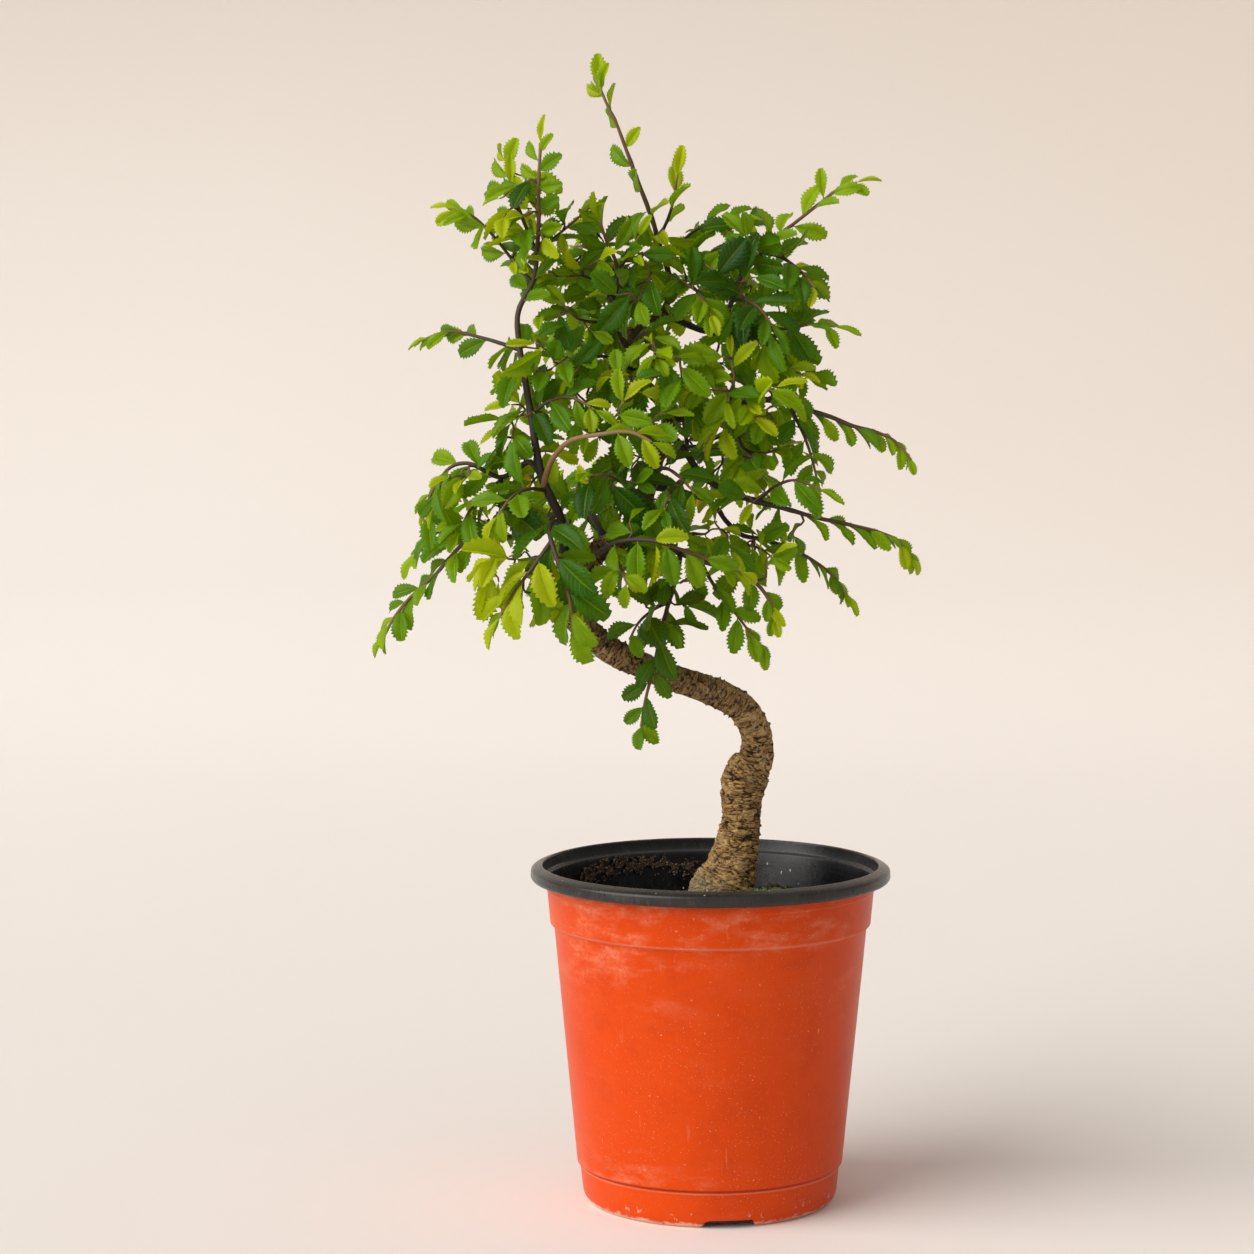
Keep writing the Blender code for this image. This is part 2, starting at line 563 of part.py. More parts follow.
class Leaf:
    """A flat pointed leaf: a petiole ring, the widest ring and a tip that bends down."""

    def __init__(self, foot, direction, normal, length, width, room=0.0):
        normal = (normal - direction * normal.dot(direction)).normalized()
        across = normal.cross(direction)
        middle = foot + direction * (LEAF_WIDEST * length)
        half = width / 2 + room
        thick = LEAF_THICKNESS / 2 + room
        stalk = PETIOLE_HALF + room * 0.5
        self.rings = [
            [foot + across * stalk, foot + normal * stalk, foot - across * stalk, foot - normal * stalk],
            [middle + across * half, middle + normal * thick,
             middle - across * half, middle - normal * thick],
        ]
        self.tip = foot + direction * (length + room) - normal * (LEAF_BEND * length)

    def soup(self):
        points = self.rings[0] + self.rings[1] + [self.tip]
        faces = [(i, (i + 1) % 4, (i + 1) % 4 + 4, i + 4) for i in range(4)]
        faces += [(i + 4, (i + 1) % 4 + 4, 8) for i in range(4)]
        return points, faces


class Crowd:
    """Everything placed so far, to find room for the next leaf."""

    def __init__(self):
        self.points = []
        self.faces = []

    def add(self, points, faces):
        base = len(self.points)
        self.points += points
        self.faces += [tuple(i + base for i in face) for face in faces]

    def tree(self):
        return BVHTree.FromPolygons(self.points, self.faces)


def room_for(leaf, tree):
    return not BVHTree.FromPolygons(*leaf.soup()).overlap(tree)


def wanted_normal(place, rng):
    """Leaves face up, outwards from the trunk and towards the window."""
    outwards = place - grown(*TREE_AXIS, DRAWN_SOIL)
    outwards.z = 0
    outwards.normalize()
    scatter = Vector((rng.uniform(-1, 1), rng.uniform(-1, 1), rng.uniform(-1, 1)))
    return (Vector((0, 0, 0.6)) + outwards * 0.45 + LIGHT * 0.45 + scatter * 0.3).normalized()


def leaf_choices(place, along, number, rng):
    """Directions and normals for one leaf, the best first. Leaves alternate from side to side."""
    facing = wanted_normal(place, rng)
    if abs(facing.dot(along)) > FACING_ALONG:
        base_turn = number * WHORL_TURN
        stand = WHORL_STAND
    else:
        base_turn = 0 if number % 2 else math.pi
        stand = LEAF_STAND
    up = (facing - along * facing.dot(along)).normalized()
    side = along.cross(up)
    for lean in LEAF_LEANS:
        for turn in LEAF_TURNS:
            angle = base_turn + math.radians(turn)
            away = side * math.cos(angle) + up * math.sin(angle)
            slope = stand + math.radians(lean)
            direction = along * math.cos(slope) + away * math.sin(slope) - Vector((0, 0, LEAF_DROOP))
            yield direction.normalized(), up


def place_leaf(growth, key, foot_axis, radius, along, corners_for, number, crowd, rng):
    """Finds room for one leaf, smaller where it is crowded, and pulls it out of the tube."""
    tree = crowd.tree()
    size = rng.uniform(*LEAF_SCATTER)
    for shrink in LEAF_SHRINKS:
        length = LEAF_LENGTH * size * shrink
        width = LEAF_WIDTH * size * shrink
        for direction, normal in leaf_choices(foot_axis, along, number, rng):
            foot = foot_axis + direction * (radius + PETIOLE)
            if room_for(Leaf(foot, direction, normal, length, width, LEAF_CLEARANCE), tree):
                leaf = Leaf(foot, direction, normal, length, width)
                growth.pull_leaf(key(direction), corners_for(direction), leaf)
                crowd.add(*leaf.soup())
                return
    raise RuntimeError(f"{growth.name} has no room for leaf {number}")


def distance_to_axis(point, axis):
    """The point's distance outside a tapering tube that is given by its ring centres and radii."""
    nearest = math.inf
    for (a, radius_a), (b, radius_b) in zip(axis, axis[1:]):
        span = b - a
        share = min(max((point - a).dot(span) / span.length_squared, 0), 1)
        radius = radius_a + (radius_b - radius_a) * share
        nearest = min(nearest, (point - a.lerp(b, share)).length - radius)
    return nearest


def clear_start(route, radius, parent_axis):
    """How far along its route a branch starts, so that its whole end face is clear of its parent."""
    distance = 0.0
    while distance < route.length / 2:
        centre = route.at(distance)
        along = route.direction(distance)
        side = along.orthogonal().normalized()
        up = along.cross(side)
        edge = [centre + (side * math.cos(turn) + up * math.sin(turn)) * radius
                for turn in (math.pi * i / 4 for i in range(8))]
        if min(distance_to_axis(point, parent_axis) for point in edge + [centre]) >= GAP:
            return distance
        distance += CLEAR_STEP
    raise RuntimeError("a branch never leaves its parent")


def leaf_marks(start, bare, length):
    """Where the leaves sit along a shoot. The last mark stays clear of the tip leaf."""
    first = start + bare
    last = length - TIP_ROOM
    count = max(1, round((last - first) / LEAF_SPACING))
    return [first + (last - first) * i / count for i in range(count + 1)]


def grow(row, sides, axes):
    name, parent, foot, tip, bare, drawn = row
    route = Route([grown(*point) for point in drawn])
    foot_radius = foot * TWIG_GIRTH * MM
    tip_radius = tip * TWIG_GIRTH * MM
    start = clear_start(route, foot_radius, axes[parent])

    def radius_at(distance):
        return foot_radius + (tip_radius - foot_radius) * (distance / route.length) ** TWIG_TAPER

    marks = leaf_marks(start, bare * tree_size(), route.length)
    growth = Growth(name, route, start, radius_at, sides, marks)
    axes[name] = growth.axis
    return growth


def leaf_out(growth, crowd, rng):
    """Puts a leaf at each mark, and one at the tip."""
    for number, mark in enumerate(growth.leaf_marks):
        band = growth.band_of(mark)
        along = (growth.directions[band] + growth.directions[band + 1]).normalized()
        centre = (growth.axis[band][0] + growth.axis[band + 1][0]) / 2
        place_leaf(growth, lambda d, b=band: (b, growth.side_facing(b, d)), centre, growth.axis[band][1],
                   along, lambda d, b=band: growth.quad(b, growth.side_facing(b, d)), number, crowd, rng)
    if growth.sides == SHOOT_SIDES:
        tip_leaf(growth, crowd, rng)


def tip_leaf(growth, crowd, rng):
    centre = growth.axis[-1][0]
    along = growth.directions[-1]
    normal = wanted_normal(centre, rng)
    if abs(normal.dot(along)) > TIP_FACING_ALONG:
        normal = along.orthogonal()
    tree = crowd.tree()
    for shrink in TIP_SHRINKS:
        length = LEAF_LENGTH * shrink
        width = LEAF_WIDTH * shrink
        foot = centre + along * PETIOLE
        if room_for(Leaf(foot, along, normal, length, width, LEAF_CLEARANCE), tree):
            leaf = Leaf(foot, along, normal, length, width)
            growth.pull_leaf("tip", growth.rings[-1], leaf)
            crowd.add(*leaf.soup())
            return


def root_swell(turn, height):
    """How much the foot of the trunk swells into its surface roots in one direction."""
    share = min(max((ROOT_SWELL_TOP - height) / (ROOT_SWELL_TOP - DRAWN_SOIL), 0), 1)
    swell = 0.0
    for degrees, amount in ROOT_LOBES:
        away = (turn - math.radians(degrees) + math.pi) % (2 * math.pi) - math.pi
        swell += amount * math.exp(-((away / ROOT_LOBE_WIDTH) ** 2))
    return share ** 2 * swell


def trunk_mesh(extra):
    """Points, faces and ring centres of the trunk, with extra added to every radius."""
    first = TRUNK_ROUTE[0]
    foot_height = DRAWN_SOIL - (ROOT_DEPTH + extra) / MM
    below = [(first[0] + right, first[1], z, first[3] + wider)
             for z, (right, wider) in zip((foot_height, DRAWN_SOIL), ROOT_RINGS)]
    rows = (*below, *TRUNK_ROUTE)
    centres = [grown(x, y, z) for x, y, z, _ in rows]
    radii = [radius * TRUNK_GIRTH * MM + extra for *_, radius in rows]
    directions = [(b - a).normalized()
                  for a, b in zip([centres[0]] + centres[:-1], centres[1:] + [centres[-1]])]
    directions[0] = directions[1] = Vector((0, 0, 1))
    points = []
    faces = []
    side = Vector((1, 0, 0))
    for row, centre, radius, direction in zip(rows, centres, radii, directions):
        side = (side - direction * side.dot(direction)).normalized()
        up = direction.cross(side)
        for i in range(TRUNK_SIDES):
            turn = 2 * math.pi * i / TRUNK_SIDES
            reach = radius * (1 + root_swell(turn, row[2]))
            points.append(centre + (side * math.cos(turn) + up * math.sin(turn)) * reach)
    count = len(rows)
    faces.append(tuple(reversed(range(TRUNK_SIDES))))
    for ring in range(count - 1):
        for i in range(TRUNK_SIDES):
            j = (i + 1) % TRUNK_SIDES
            low = ring * TRUNK_SIDES
            high = low + TRUNK_SIDES
            faces.append((low + i, low + j, high + j, high + i))
    faces.append(tuple(range((count - 1) * TRUNK_SIDES, count * TRUNK_SIDES)))
    return points, faces, list(zip(centres, radii))


def build_tree():
    bark = material("bark", (0.26, 0.17, 0.09), 0.85)
    leafy = material("leaf_green", (0.16, 0.32, 0.03), 0.4)
    points, faces, trunk_axis = trunk_mesh(0)
    add_object("trunk", points, faces, bark, smooth_angle=math.radians(50))
    socket_points, socket_faces, _ = trunk_mesh(GAP)
    socket = add_object("root_socket_cutter", socket_points, socket_faces, bark)
    socket.hide_render = True
    socket.display_type = "WIRE"

    axes = {"trunk": trunk_axis}
    growths = [grow(row, BRANCH_SIDES, axes) for row in BRANCHES]
    growths += [grow(row, SHOOT_SIDES, axes) for row in SHOOTS]
    crowd = Crowd()
    crowd.add(points, faces)
    for growth in growths:
        crowd.add(growth.points, growth.faces())
    for number, growth in enumerate(growths):
        leaf_out(growth, crowd, random.Random(number))
        add_object(growth.name, growth.points, growth.faces(), leafy)
    return socket


def main():
    clear_scene()
    build_pot()
    socket = build_tree()
    build_soil(socket)


main()
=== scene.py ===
"""Looks for a small-leaved elm bonsai in a two-layer nursery pot.

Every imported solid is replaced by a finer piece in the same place: turned pot layers with rounded edges, soil
with grains and moss, a trunk with wrinkled bark, and twigs that carry folded, toothed leaves. The routes of
the trunk, branches and shoots are the model's own design points, in millimetres, apart from the leader's last
two, which stop lower.
"""
import math
import random

import bpy
from mathutils import Matrix, Vector, noise
from mathutils.bvhtree import BVHTree


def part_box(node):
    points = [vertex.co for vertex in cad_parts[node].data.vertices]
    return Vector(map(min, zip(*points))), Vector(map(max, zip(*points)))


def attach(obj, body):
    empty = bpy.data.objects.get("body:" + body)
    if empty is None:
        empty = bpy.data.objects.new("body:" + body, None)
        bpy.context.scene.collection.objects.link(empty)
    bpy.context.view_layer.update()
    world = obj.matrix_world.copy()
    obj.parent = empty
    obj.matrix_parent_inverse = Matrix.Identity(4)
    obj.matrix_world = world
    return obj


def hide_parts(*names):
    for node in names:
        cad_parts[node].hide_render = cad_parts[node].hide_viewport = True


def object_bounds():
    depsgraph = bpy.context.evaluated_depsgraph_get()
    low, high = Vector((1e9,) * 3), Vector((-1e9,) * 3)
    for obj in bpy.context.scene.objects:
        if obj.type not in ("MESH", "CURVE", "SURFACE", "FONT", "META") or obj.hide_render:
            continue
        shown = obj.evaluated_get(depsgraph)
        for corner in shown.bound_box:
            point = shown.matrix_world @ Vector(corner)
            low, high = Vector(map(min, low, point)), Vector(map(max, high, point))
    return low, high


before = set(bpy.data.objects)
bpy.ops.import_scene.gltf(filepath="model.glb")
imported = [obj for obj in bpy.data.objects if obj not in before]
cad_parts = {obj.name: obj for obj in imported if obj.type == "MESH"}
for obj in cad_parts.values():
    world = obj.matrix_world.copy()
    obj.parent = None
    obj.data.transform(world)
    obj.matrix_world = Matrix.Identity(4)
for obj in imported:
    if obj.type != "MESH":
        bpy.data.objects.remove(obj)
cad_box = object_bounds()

MM = 0.001

# ---------------------------------------------------------------- sizes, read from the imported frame

_, POT_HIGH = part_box("pot_outer_layer")
_, RIM_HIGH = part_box("pot_inner_layer")
SOIL_LOW, SOIL_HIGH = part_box("soil")
RIM_RADIUS = RIM_HIGH.x
RIM_TOP = RIM_HIGH.z
WALL_TOP_RADIUS = POT_HIGH.x
WALL_TOP = POT_HIGH.z
SOIL_CROWN = 1.2 * MM
SOIL_TOP = SOIL_HIGH.z - SOIL_CROWN

# Sections, in mm
BASE_RADIUS = 52.9
LAYER_WALL = 0.9
LAYER_GAP = 0.3
DRAIN_COUNT = 3
DRAIN_WIDTH = 23.6
DRAIN_HEIGHT = 3.5
DRAIN_DEPTH = 9
DRAIN_TURN = math.radians(7.7)

POT_SEGMENTS = 240
POT_WOBBLE = 0.12 * MM  # how far the turned walls stray from a true circle
FILLET_STEPS = 5
LONGEST_FACE = 4 * MM  # on the pot, from one ring to the next

SOIL_RINGS = 60
SOIL_SEGMENTS = 180
CRUMB_COUNT = 1500
MOSS_COUNT = 900
CRUST_COUNT = 5200
CRUST_START, CRUST_END = 92, 146  # degrees from +X, where old soil clings to the liner

# The routes are drawn over soil at this height.
DRAWN_SOIL = 127
TREE_AXIS = (-20, 0)
LIGHT = Vector((-0.6, -0.8, 0.0))

LEAF_LENGTH = 16.6 * MM
LEAF_WIDTH = 10.0 * MM
LEAF_SPACING = 6.3 * MM
LEAF_ROOM = 6 * MM  # how far a leaf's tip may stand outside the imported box
LEAF_CLEARANCE = 0.25 * MM  # added round a leaf's hull while room is sought for it
TIP_CLEARANCE = 0.05 * MM  # the same for the leaf at a twig's tip
WHORL_TURN = math.radians(137.5)
NEAREST_GOAL = 7 * MM  # a clump's twig that would be shorter than this isn't grown
FARTHEST_GOAL = 34 * MM
TWIG_STEP = 2.2 * MM

COVE_RADIUS = 1.6  # where the studio floor curves up into the wall
CAMERA_PLACE = (-0.0371, -1.5, 0.3918)
CAMERA_LENS = 97.8
CAMERA_DIP = 5.157  # degrees below level

# ---------------------------------------------------------------- routes

# Trunk centre line and radius: (x, y, z, radius)
TRUNK_ROUTE = (
    (5.5, 0, 139, 13.0),
    (9, 0, 148, 11.6),
    (11.5, 0, 159.5, 9.6),
    (13.5, 0, 171, 8.5),
    (14, 0, 182, 9.2),
    (15.3, 0, 188.5, 10.1),
    (17, 0, 193, 9.5),
    (20, 0, 198.5, 7.7),
    (20.5, 0, 207, 6.8),
    (18.5, -1, 213, 6.5),
    (16, -2, 218, 6.4),
    (12, -3, 222.5, 6.4),
    (6, -5, 226, 6.4),
    (-3.5, -8, 230.5, 6.0),
    (-16, -12, 235, 5.7),
    (-29.5, -17, 241, 5.5),
    (-42.5, -22, 247.5, 5.6),
    (-53, -27, 256, 5.6),
    (-61, -30.5, 266, 5.5),
    (-63.5, -33, 274.5, 5.4),
    (-60.5, -33, 283, 5.3),
    (-50, -30, 292, 5.0),
    (-38, -25, 299, 4.8),
    (-31.5, -20, 306, 4.5),
    (-29, -13, 316, 4.1),
    (-25, -6, 330, 3.7),
    (-19, -1, 345, 3.4),
    (-21, 2, 355, 3.1),
    (-28, 4, 362, 2.9),
    (-34, 5, 368, 2.6),
    (-36, 6, 377, 2.4),
    (-36, 7, 388, 2.1),
)
TRUNK_FOOT = ((2, 0, 113, 13), (3.5, 0, 127, 13.6))

# Where the surface roots leave the trunk's foot: (direction in degrees from +X, how far they swell)
ROOT_LOBES = ((195, 0.30), (255, 0.16), (330, 0.22), (40, 0.20), (115, 0.26))
ROOT_LOBE_WIDTH = math.radians(34)
ROOT_SWELL_TOP = 165
TRUNK_SIDES = 132
TRUNK_STEP = 0.5 * MM
HULL_SIDES, HULL_RINGS = 3, 4  # the trunk's hull takes every third point of every fourth ring
NUB_COUNT = 190
NUB_HEIGHT = 1.35 * MM
DEEP_BARK_TOP = 205  # the bark's relief is shallower above this height
OLD_BARK_TOP = 165
BARK_AGE_RISE = 110  # over this height above it the bark turns from old to young
LICHEN_TOP = 146
LICHEN_TURN = math.radians(225)

# Branches: name, foot radius, tip radius, bare length before the first leaf, points
BRANCHES = (
    ("left_branch", 2.5, 0.7, 128,
     ((-62, -32, 277), (-64, -32, 290), (-65, -32, 304), (-69, -35, 314), (-73, -37, 323), (-76, -36, 336),
      (-78, -34, 349), (-81, -31, 366), (-84, -28, 385), (-84, -26, 395), (-81, -25, 402), (-77, -24, 410),
      (-76, -25, 421), (-75, -27, 434), (-75, -30, 449), (-74, -33, 467))),
    ("arching_branch", 1.5, 0.7, 46,
     ((-73, -37, 321), (-71, -42, 328), (-68, -48, 334), (-61, -57, 341), (-48, -64, 344), (-36, -67, 345),
      (-27, -69, 341))),
    ("left_middle_branch", 1.5, 0.6, 22,
     ((-73, -37, 324), (-79, -31, 331), (-85, -27, 327), (-92, -25, 324), (-99, -24, 327), (-106, -22, 330),
      (-114, -20, 328), (-121, -19, 319), (-125, -18, 310))),
    ("left_low_branch", 1.6, 0.6, 34,
     ((-67, -33, 309), (-78, -30, 302), (-88, -27, 298), (-98, -24, 299), (-107, -21, 296), (-114, -21, 289),
      (-121, -22, 281), (-132, -24, 271), (-139, -25, 262), (-143, -26, 254))),
    ("leader_branch", 1.9, 0.6, 44,
     ((-36, 6, 383), (-30, 9, 390), (-23, 11, 394), (-19, 11, 400), (-18, 11, 408), (-20, 10, 417),
      (-23, 9, 425), (-26, 8, 436), (-31, 6, 449), (-37, 4, 465), (-42, 3, 478), (-46, 2, 486), (-49, 1, 493))),
    ("apex_branch", 1.7, 0.6, 26,
     ((-35, 5, 376), (-41, -1, 387), (-44, -5, 398), (-41, -8, 407), (-42, -10, 417), (-46, -13, 426),
      (-49, -16, 435))),
    ("upper_right_branch", 1.6, 0.6, 40,
     ((-22, 11, 395), (-11, 5, 390), (-2, -2, 387), (5, -5, 391), (9, -6, 401), (13, -6, 411),
      (20, -6, 419), (27, -6, 427), (36, -7, 434), (45, -8, 441), (54, -9, 448), (62, -10, 451))),
    ("right_branch", 2.1, 0.6, 58,
     ((-19, -1, 348), (-7, -3, 350), (7, -6, 353), (19, -9, 357), (32, -11, 356), (41, -12, 353),
      (51, -12, 350), (61, -12, 346), (72, -12, 343), (80, -12, 339), (87, -12, 331))),
    ("right_low_branch", 1.8, 0.6, 74,
     ((-22, -3, 339), (-15, -8, 339), (-10, -11, 332), (-4, -14, 324), (7, -16, 317), (20, -17, 313),
      (32, -18, 310), (46, -18, 306), (60, -18, 303), (72, -18, 300), (81, -18, 296), (87, -18, 288))),
    ("lower_right_branch", 1.7, 0.6, 58,
     ((-28, -11, 319), (-18, -4, 318), (-8, 1, 315), (1, 3, 311), (7, 4, 303), (14, 5, 297),
      (24, 5, 295), (35, 5, 291), (45, 5, 286), (54, 5, 279), (60, 5, 271))),
    ("low_branch", 1.8, 0.7, 50,
     ((-36, -24, 301), (-27, -22, 297), (-19, -21, 293), (-7, -21, 288), (4, -21, 285), (13, -22, 282),
      (20, -25, 277), (25, -28, 270), (27, -30, 263))),
    ("hanging_branch", 1.3, 0.6, 26,
     ((-14, -21, 291), (-15, -26, 284), (-18, -28, 273), (-22, -29, 259), (-25, -30, 244), (-29, -30, 228),
      (-31, -30, 216))),
    ("front_down_branch", 1.6, 0.6, 20,
     ((-65, -32, 303), (-68, -46, 306), (-70, -60, 304), (-68, -69, 296), (-64, -73, 285), (-61, -75, 274),
      (-60, -76, 262))),
    ("front_spray_branch", 1.6, 0.6, 22,
     ((-55, -31, 288), (-49, -44, 293), (-40, -54, 298), (-27, -60, 299), (-14, -61, 295), (-1, -58, 290),
      (11, -54, 285))),
    ("back_low_branch", 2.0, 0.7, 26,
     ((-46, -28, 295), (-50, -12, 303), (-54, 8, 308), (-57, 28, 309), (-62, 46, 304), (-68, 60, 294))),
    ("back_middle_branch", 2.2, 0.7, 24,
     ((-26, -7, 328), (-20, 8, 333), (-8, 24, 335), (4, 40, 333), (15, 54, 326), (26, 64, 314))),
    ("back_high_branch", 1.9, 0.7, 22,
     ((-22, 3, 356), (-28, 16, 364), (-38, 30, 372), (-50, 42, 379), (-60, 52, 382), (-71, 60, 380))),
)

# Side shoots: name, foot radius, bare length before the first leaf, points
SHOOT_TIP = 0.5
SHOOTS = (
    ("leader_side_shoot", 0.9, 8, ((-24, 9, 427), (-20, 7, 434), (-17, 5, 443), (-15, 3, 455))),
    ("leader_right_shoot", 1.0, 12, ((-20, 10, 416), (-11, 8, 428), (-1, 4, 434), (11, 0, 436))),
    ("upper_left_lean_shoot", 0.9, 10, ((-76, -25, 421), (-82, -21, 435), (-87, -19, 450), (-90, -18, 463))),
    ("upper_left_low_shoot", 0.9, 10,
     ((-78, -24, 408), (-86, -21, 417), (-94, -19, 427), (-103, -17, 436), (-112, -15, 440))),
    ("upper_left_inner_shoot", 0.8, 8, ((-76, -25, 420), (-70, -18, 426), (-63, -13, 432), (-56, -10, 438))),
    ("apex_left_shoot", 0.9, 8, ((-43, -7, 402), (-50, -13, 408), (-58, -18, 411), (-67, -22, 410))),
    ("apex_right_shoot", 0.8, 6, ((-42, -9, 412), (-36, -15, 420), (-32, -18, 428))),
    ("upper_right_leaf_shoot", 0.8, 6, ((15, -6, 414), (16, -14, 421), (15, -20, 428))),
    ("upper_right_droop_shoot", 0.9, 8, ((21, -6, 421), (30, -11, 419), (38, -16, 413), (44, -20, 406))),
    ("right_high_shoot", 1.1, 14,
     ((5, -5, 391), (16, -9, 389), (31, -13, 388), (43, -15, 390), (53, -16, 389))),
    ("upper_right_dark_shoot", 0.9, 8, ((9, -6, 401), (15, -17, 400), (20, -26, 397), (25, -31, 390))),
    ("right_up_shoot", 0.9, 8, ((14, -8, 355), (20, -14, 365), (28, -18, 371), (38, -21, 369))),
    ("right_down_shoot", 0.9, 8, ((33, -11, 356), (39, -15, 344), (43, -17, 333), (46, -19, 321))),
    ("right_front_shoot", 0.9, 10, ((5, -6, 352), (10, -19, 360), (15, -31, 357))),
    ("right_under_shoot", 1.0, 14,
     ((12, -7, 354), (11, -6, 344), (15, -5, 335), (24, -7, 334), (34, -9, 337))),
    ("right_low_side_shoot", 0.9, 10, ((20, -17, 313), (27, -24, 320), (36, -29, 323), (46, -32, 319))),
    ("low_hanging_shoot", 0.9, 12,
     ((-5, -21, 287), (2, -24, 275), (10, -26, 265), (16, -27, 257), (22, -28, 249))),
    ("centre_whorl_shoot", 1.0, 14, ((-36, 6, 380), (-30, -10, 386), (-26, -26, 383), (-25, -37, 375))),
    ("centre_left_shoot", 1.0, 12, ((-35, 5, 371), (-46, -10, 376), (-55, -24, 374), (-61, -34, 367))),
    ("centre_low_shoot", 1.1, 14, ((-27, -9, 324), (-21, -25, 328), (-15, -36, 325), (-8, -43, 318))),
    ("centre_middle_shoot", 1.1, 14, ((-30, -17, 310), (-36, -30, 319), (-44, -40, 325), (-53, -47, 326))),
    ("upper_centre_shoot", 1.0, 12, ((-18, 11, 406), (-10, -4, 407), (-5, -18, 402), (-1, -28, 394))),
    ("upper_middle_left_shoot", 1.0, 10, ((-42, -3, 393), (-51, -14, 391), (-59, -24, 393), (-66, -31, 400))),
    ("left_high_shoot", 1.1, 16,
     ((-83, -29, 379), (-92, -25, 382), (-103, -20, 385), (-114, -16, 387), (-124, -14, 384))),
    ("left_middle_up_shoot", 0.9, 6, ((-78, -34, 351), (-71, -40, 357), (-61, -45, 359), (-51, -49, 354))),
    ("left_cluster_shoot", 0.9, 6, ((-91, -25, 324), (-97, -32, 317), (-104, -37, 311), (-109, -40, 302))),
    ("left_low_side_shoot", 0.9, 6, ((-106, -21, 296), (-115, -15, 300), (-123, -11, 298), (-129, -9, 290))),
    ("front_left_shoot", 1.0, 12, ((-72, -37, 319), (-79, -47, 320), (-86, -54, 317), (-92, -58, 309))),
    ("front_down_left_shoot", 1.0, 10, ((-69, -66, 299), (-77, -71, 288), (-85, -72, 277), (-91, -72, 267))),
    ("front_low_shoot", 0.9, 6, ((-44, -50, 296), (-41, -60, 290), (-37, -67, 281))),
    ("hanging_left_shoot", 0.8, 6, ((-19, -28, 270), (-26, -33, 267), (-32, -37, 262), (-36, -40, 255))),
    ("back_low_side_shoot", 1.0, 8, ((-55, 12, 308), (-70, 20, 313), (-85, 26, 309), (-97, 32, 300))),
    ("back_low_inner_shoot", 1.0, 8, ((-57, 28, 309), (-44, 40, 310), (-32, 50, 304), (-22, 58, 294))),
    ("back_middle_side_shoot", 1.0, 8, ((-6, 26, 335), (10, 26, 342), (26, 27, 342), (40, 28, 334))),
    ("back_middle_up_shoot", 1.0, 8, ((-10, 22, 335), (-12, 34, 348), (-14, 46, 358), (-15, 58, 363))),
    ("back_high_side_shoot", 1.0, 8, ((-32, 22, 368), (-34, 36, 380), (-34, 50, 388), (-32, 62, 391))),
    ("back_top_shoot", 1.1, 10, ((-19, 11, 401), (-8, 22, 408), (4, 32, 411), (17, 41, 407))),
    ("back_left_shoot", 1.0, 8, ((-82, -30, 372), (-84, -16, 379), (-86, 0, 382), (-90, 16, 378))),
    ("back_crown_shoot", 1.0, 8, ((-42, -9, 412), (-50, 2, 420), (-56, 14, 424), (-62, 26, 424))),
)

# How a piece's leaves look: how young, from 0, dark and leathery, to 1, fresh yellow-green; how large; how far
# they droop; how many degrees they stand off the twig; how far apart they are
LOOKS = {
    "left_branch": (0.50, 0.95, 0.15, 58, 1.0),
    "arching_branch": (0.72, 0.95, 0.30, 50, 1.1),
    "left_middle_branch": (0.55, 0.90, 0.30, 58, 1.0),
    "left_low_branch": (0.42, 0.88, 0.35, 58, 1.0),
    "leader_branch": (0.70, 0.92, 0.00, 58, 1.9),
    "leader_side_shoot": (0.82, 0.92, 0.00, 48, 1.3),
    "upper_right_branch": (0.52, 0.98, 0.15, 50, 1.35),
    "upper_right_leaf_shoot": (0.20, 1.05, 0.05, 58, 1.0),
    "upper_right_dark_shoot": (0.06, 1.12, 0.20, 58, 1.0),
    "right_branch": (0.56, 0.74, 0.50, 34, 1.0),
    "right_low_branch": (0.56, 0.76, 0.50, 34, 1.0),
    "right_up_shoot": (0.60, 0.80, 0.35, 50, 1.0),
    "right_front_shoot": (0.72, 1.00, 0.25, 58, 1.0),
    "lower_right_branch": (0.45, 0.78, 0.50, 38, 1.0),
    "low_branch": (0.50, 0.82, 0.35, 46, 1.25),
    "low_hanging_shoot": (0.55, 0.86, 0.35, 46, 1.2),
    "hanging_branch": (0.06, 0.98, 0.20, 56, 1.2),
    "hanging_left_shoot": (0.08, 1.02, 0.20, 58, 1.0),
    "centre_low_shoot": (0.05, 1.05, 0.20, 58, 1.0),
    "centre_middle_shoot": (0.15, 1.10, 0.20, 58, 1.0),
    "centre_whorl_shoot": (0.66, 1.05, 0.25, 58, 1.0),
    "front_down_branch": (0.30, 1.36, 0.35, 52, 1.15),
    "front_down_left_shoot": (0.92, 1.12, 0.45, 50, 1.0),
    "front_spray_branch": (0.62, 0.95, 0.45, 52, 1.0),
    "front_low_shoot": (0.60, 0.95, 0.40, 52, 1.0),
    "front_left_shoot": (0.58, 1.10, 0.25, 58, 1.0),
    "left_high_shoot": (0.52, 0.76, 0.30, 30, 0.95),
    "left_cluster_shoot": (0.40, 1.10, 0.30, 58, 1.0),
    "upper_left_lean_shoot": (0.70, 0.95, 0.10, 48, 1.0),
    "upper_left_low_shoot": (0.70, 0.88, 0.45, 40, 1.0),
}
PLAIN_LOOKS = (0.44, 0.95, 0.18, 58, 1.0)

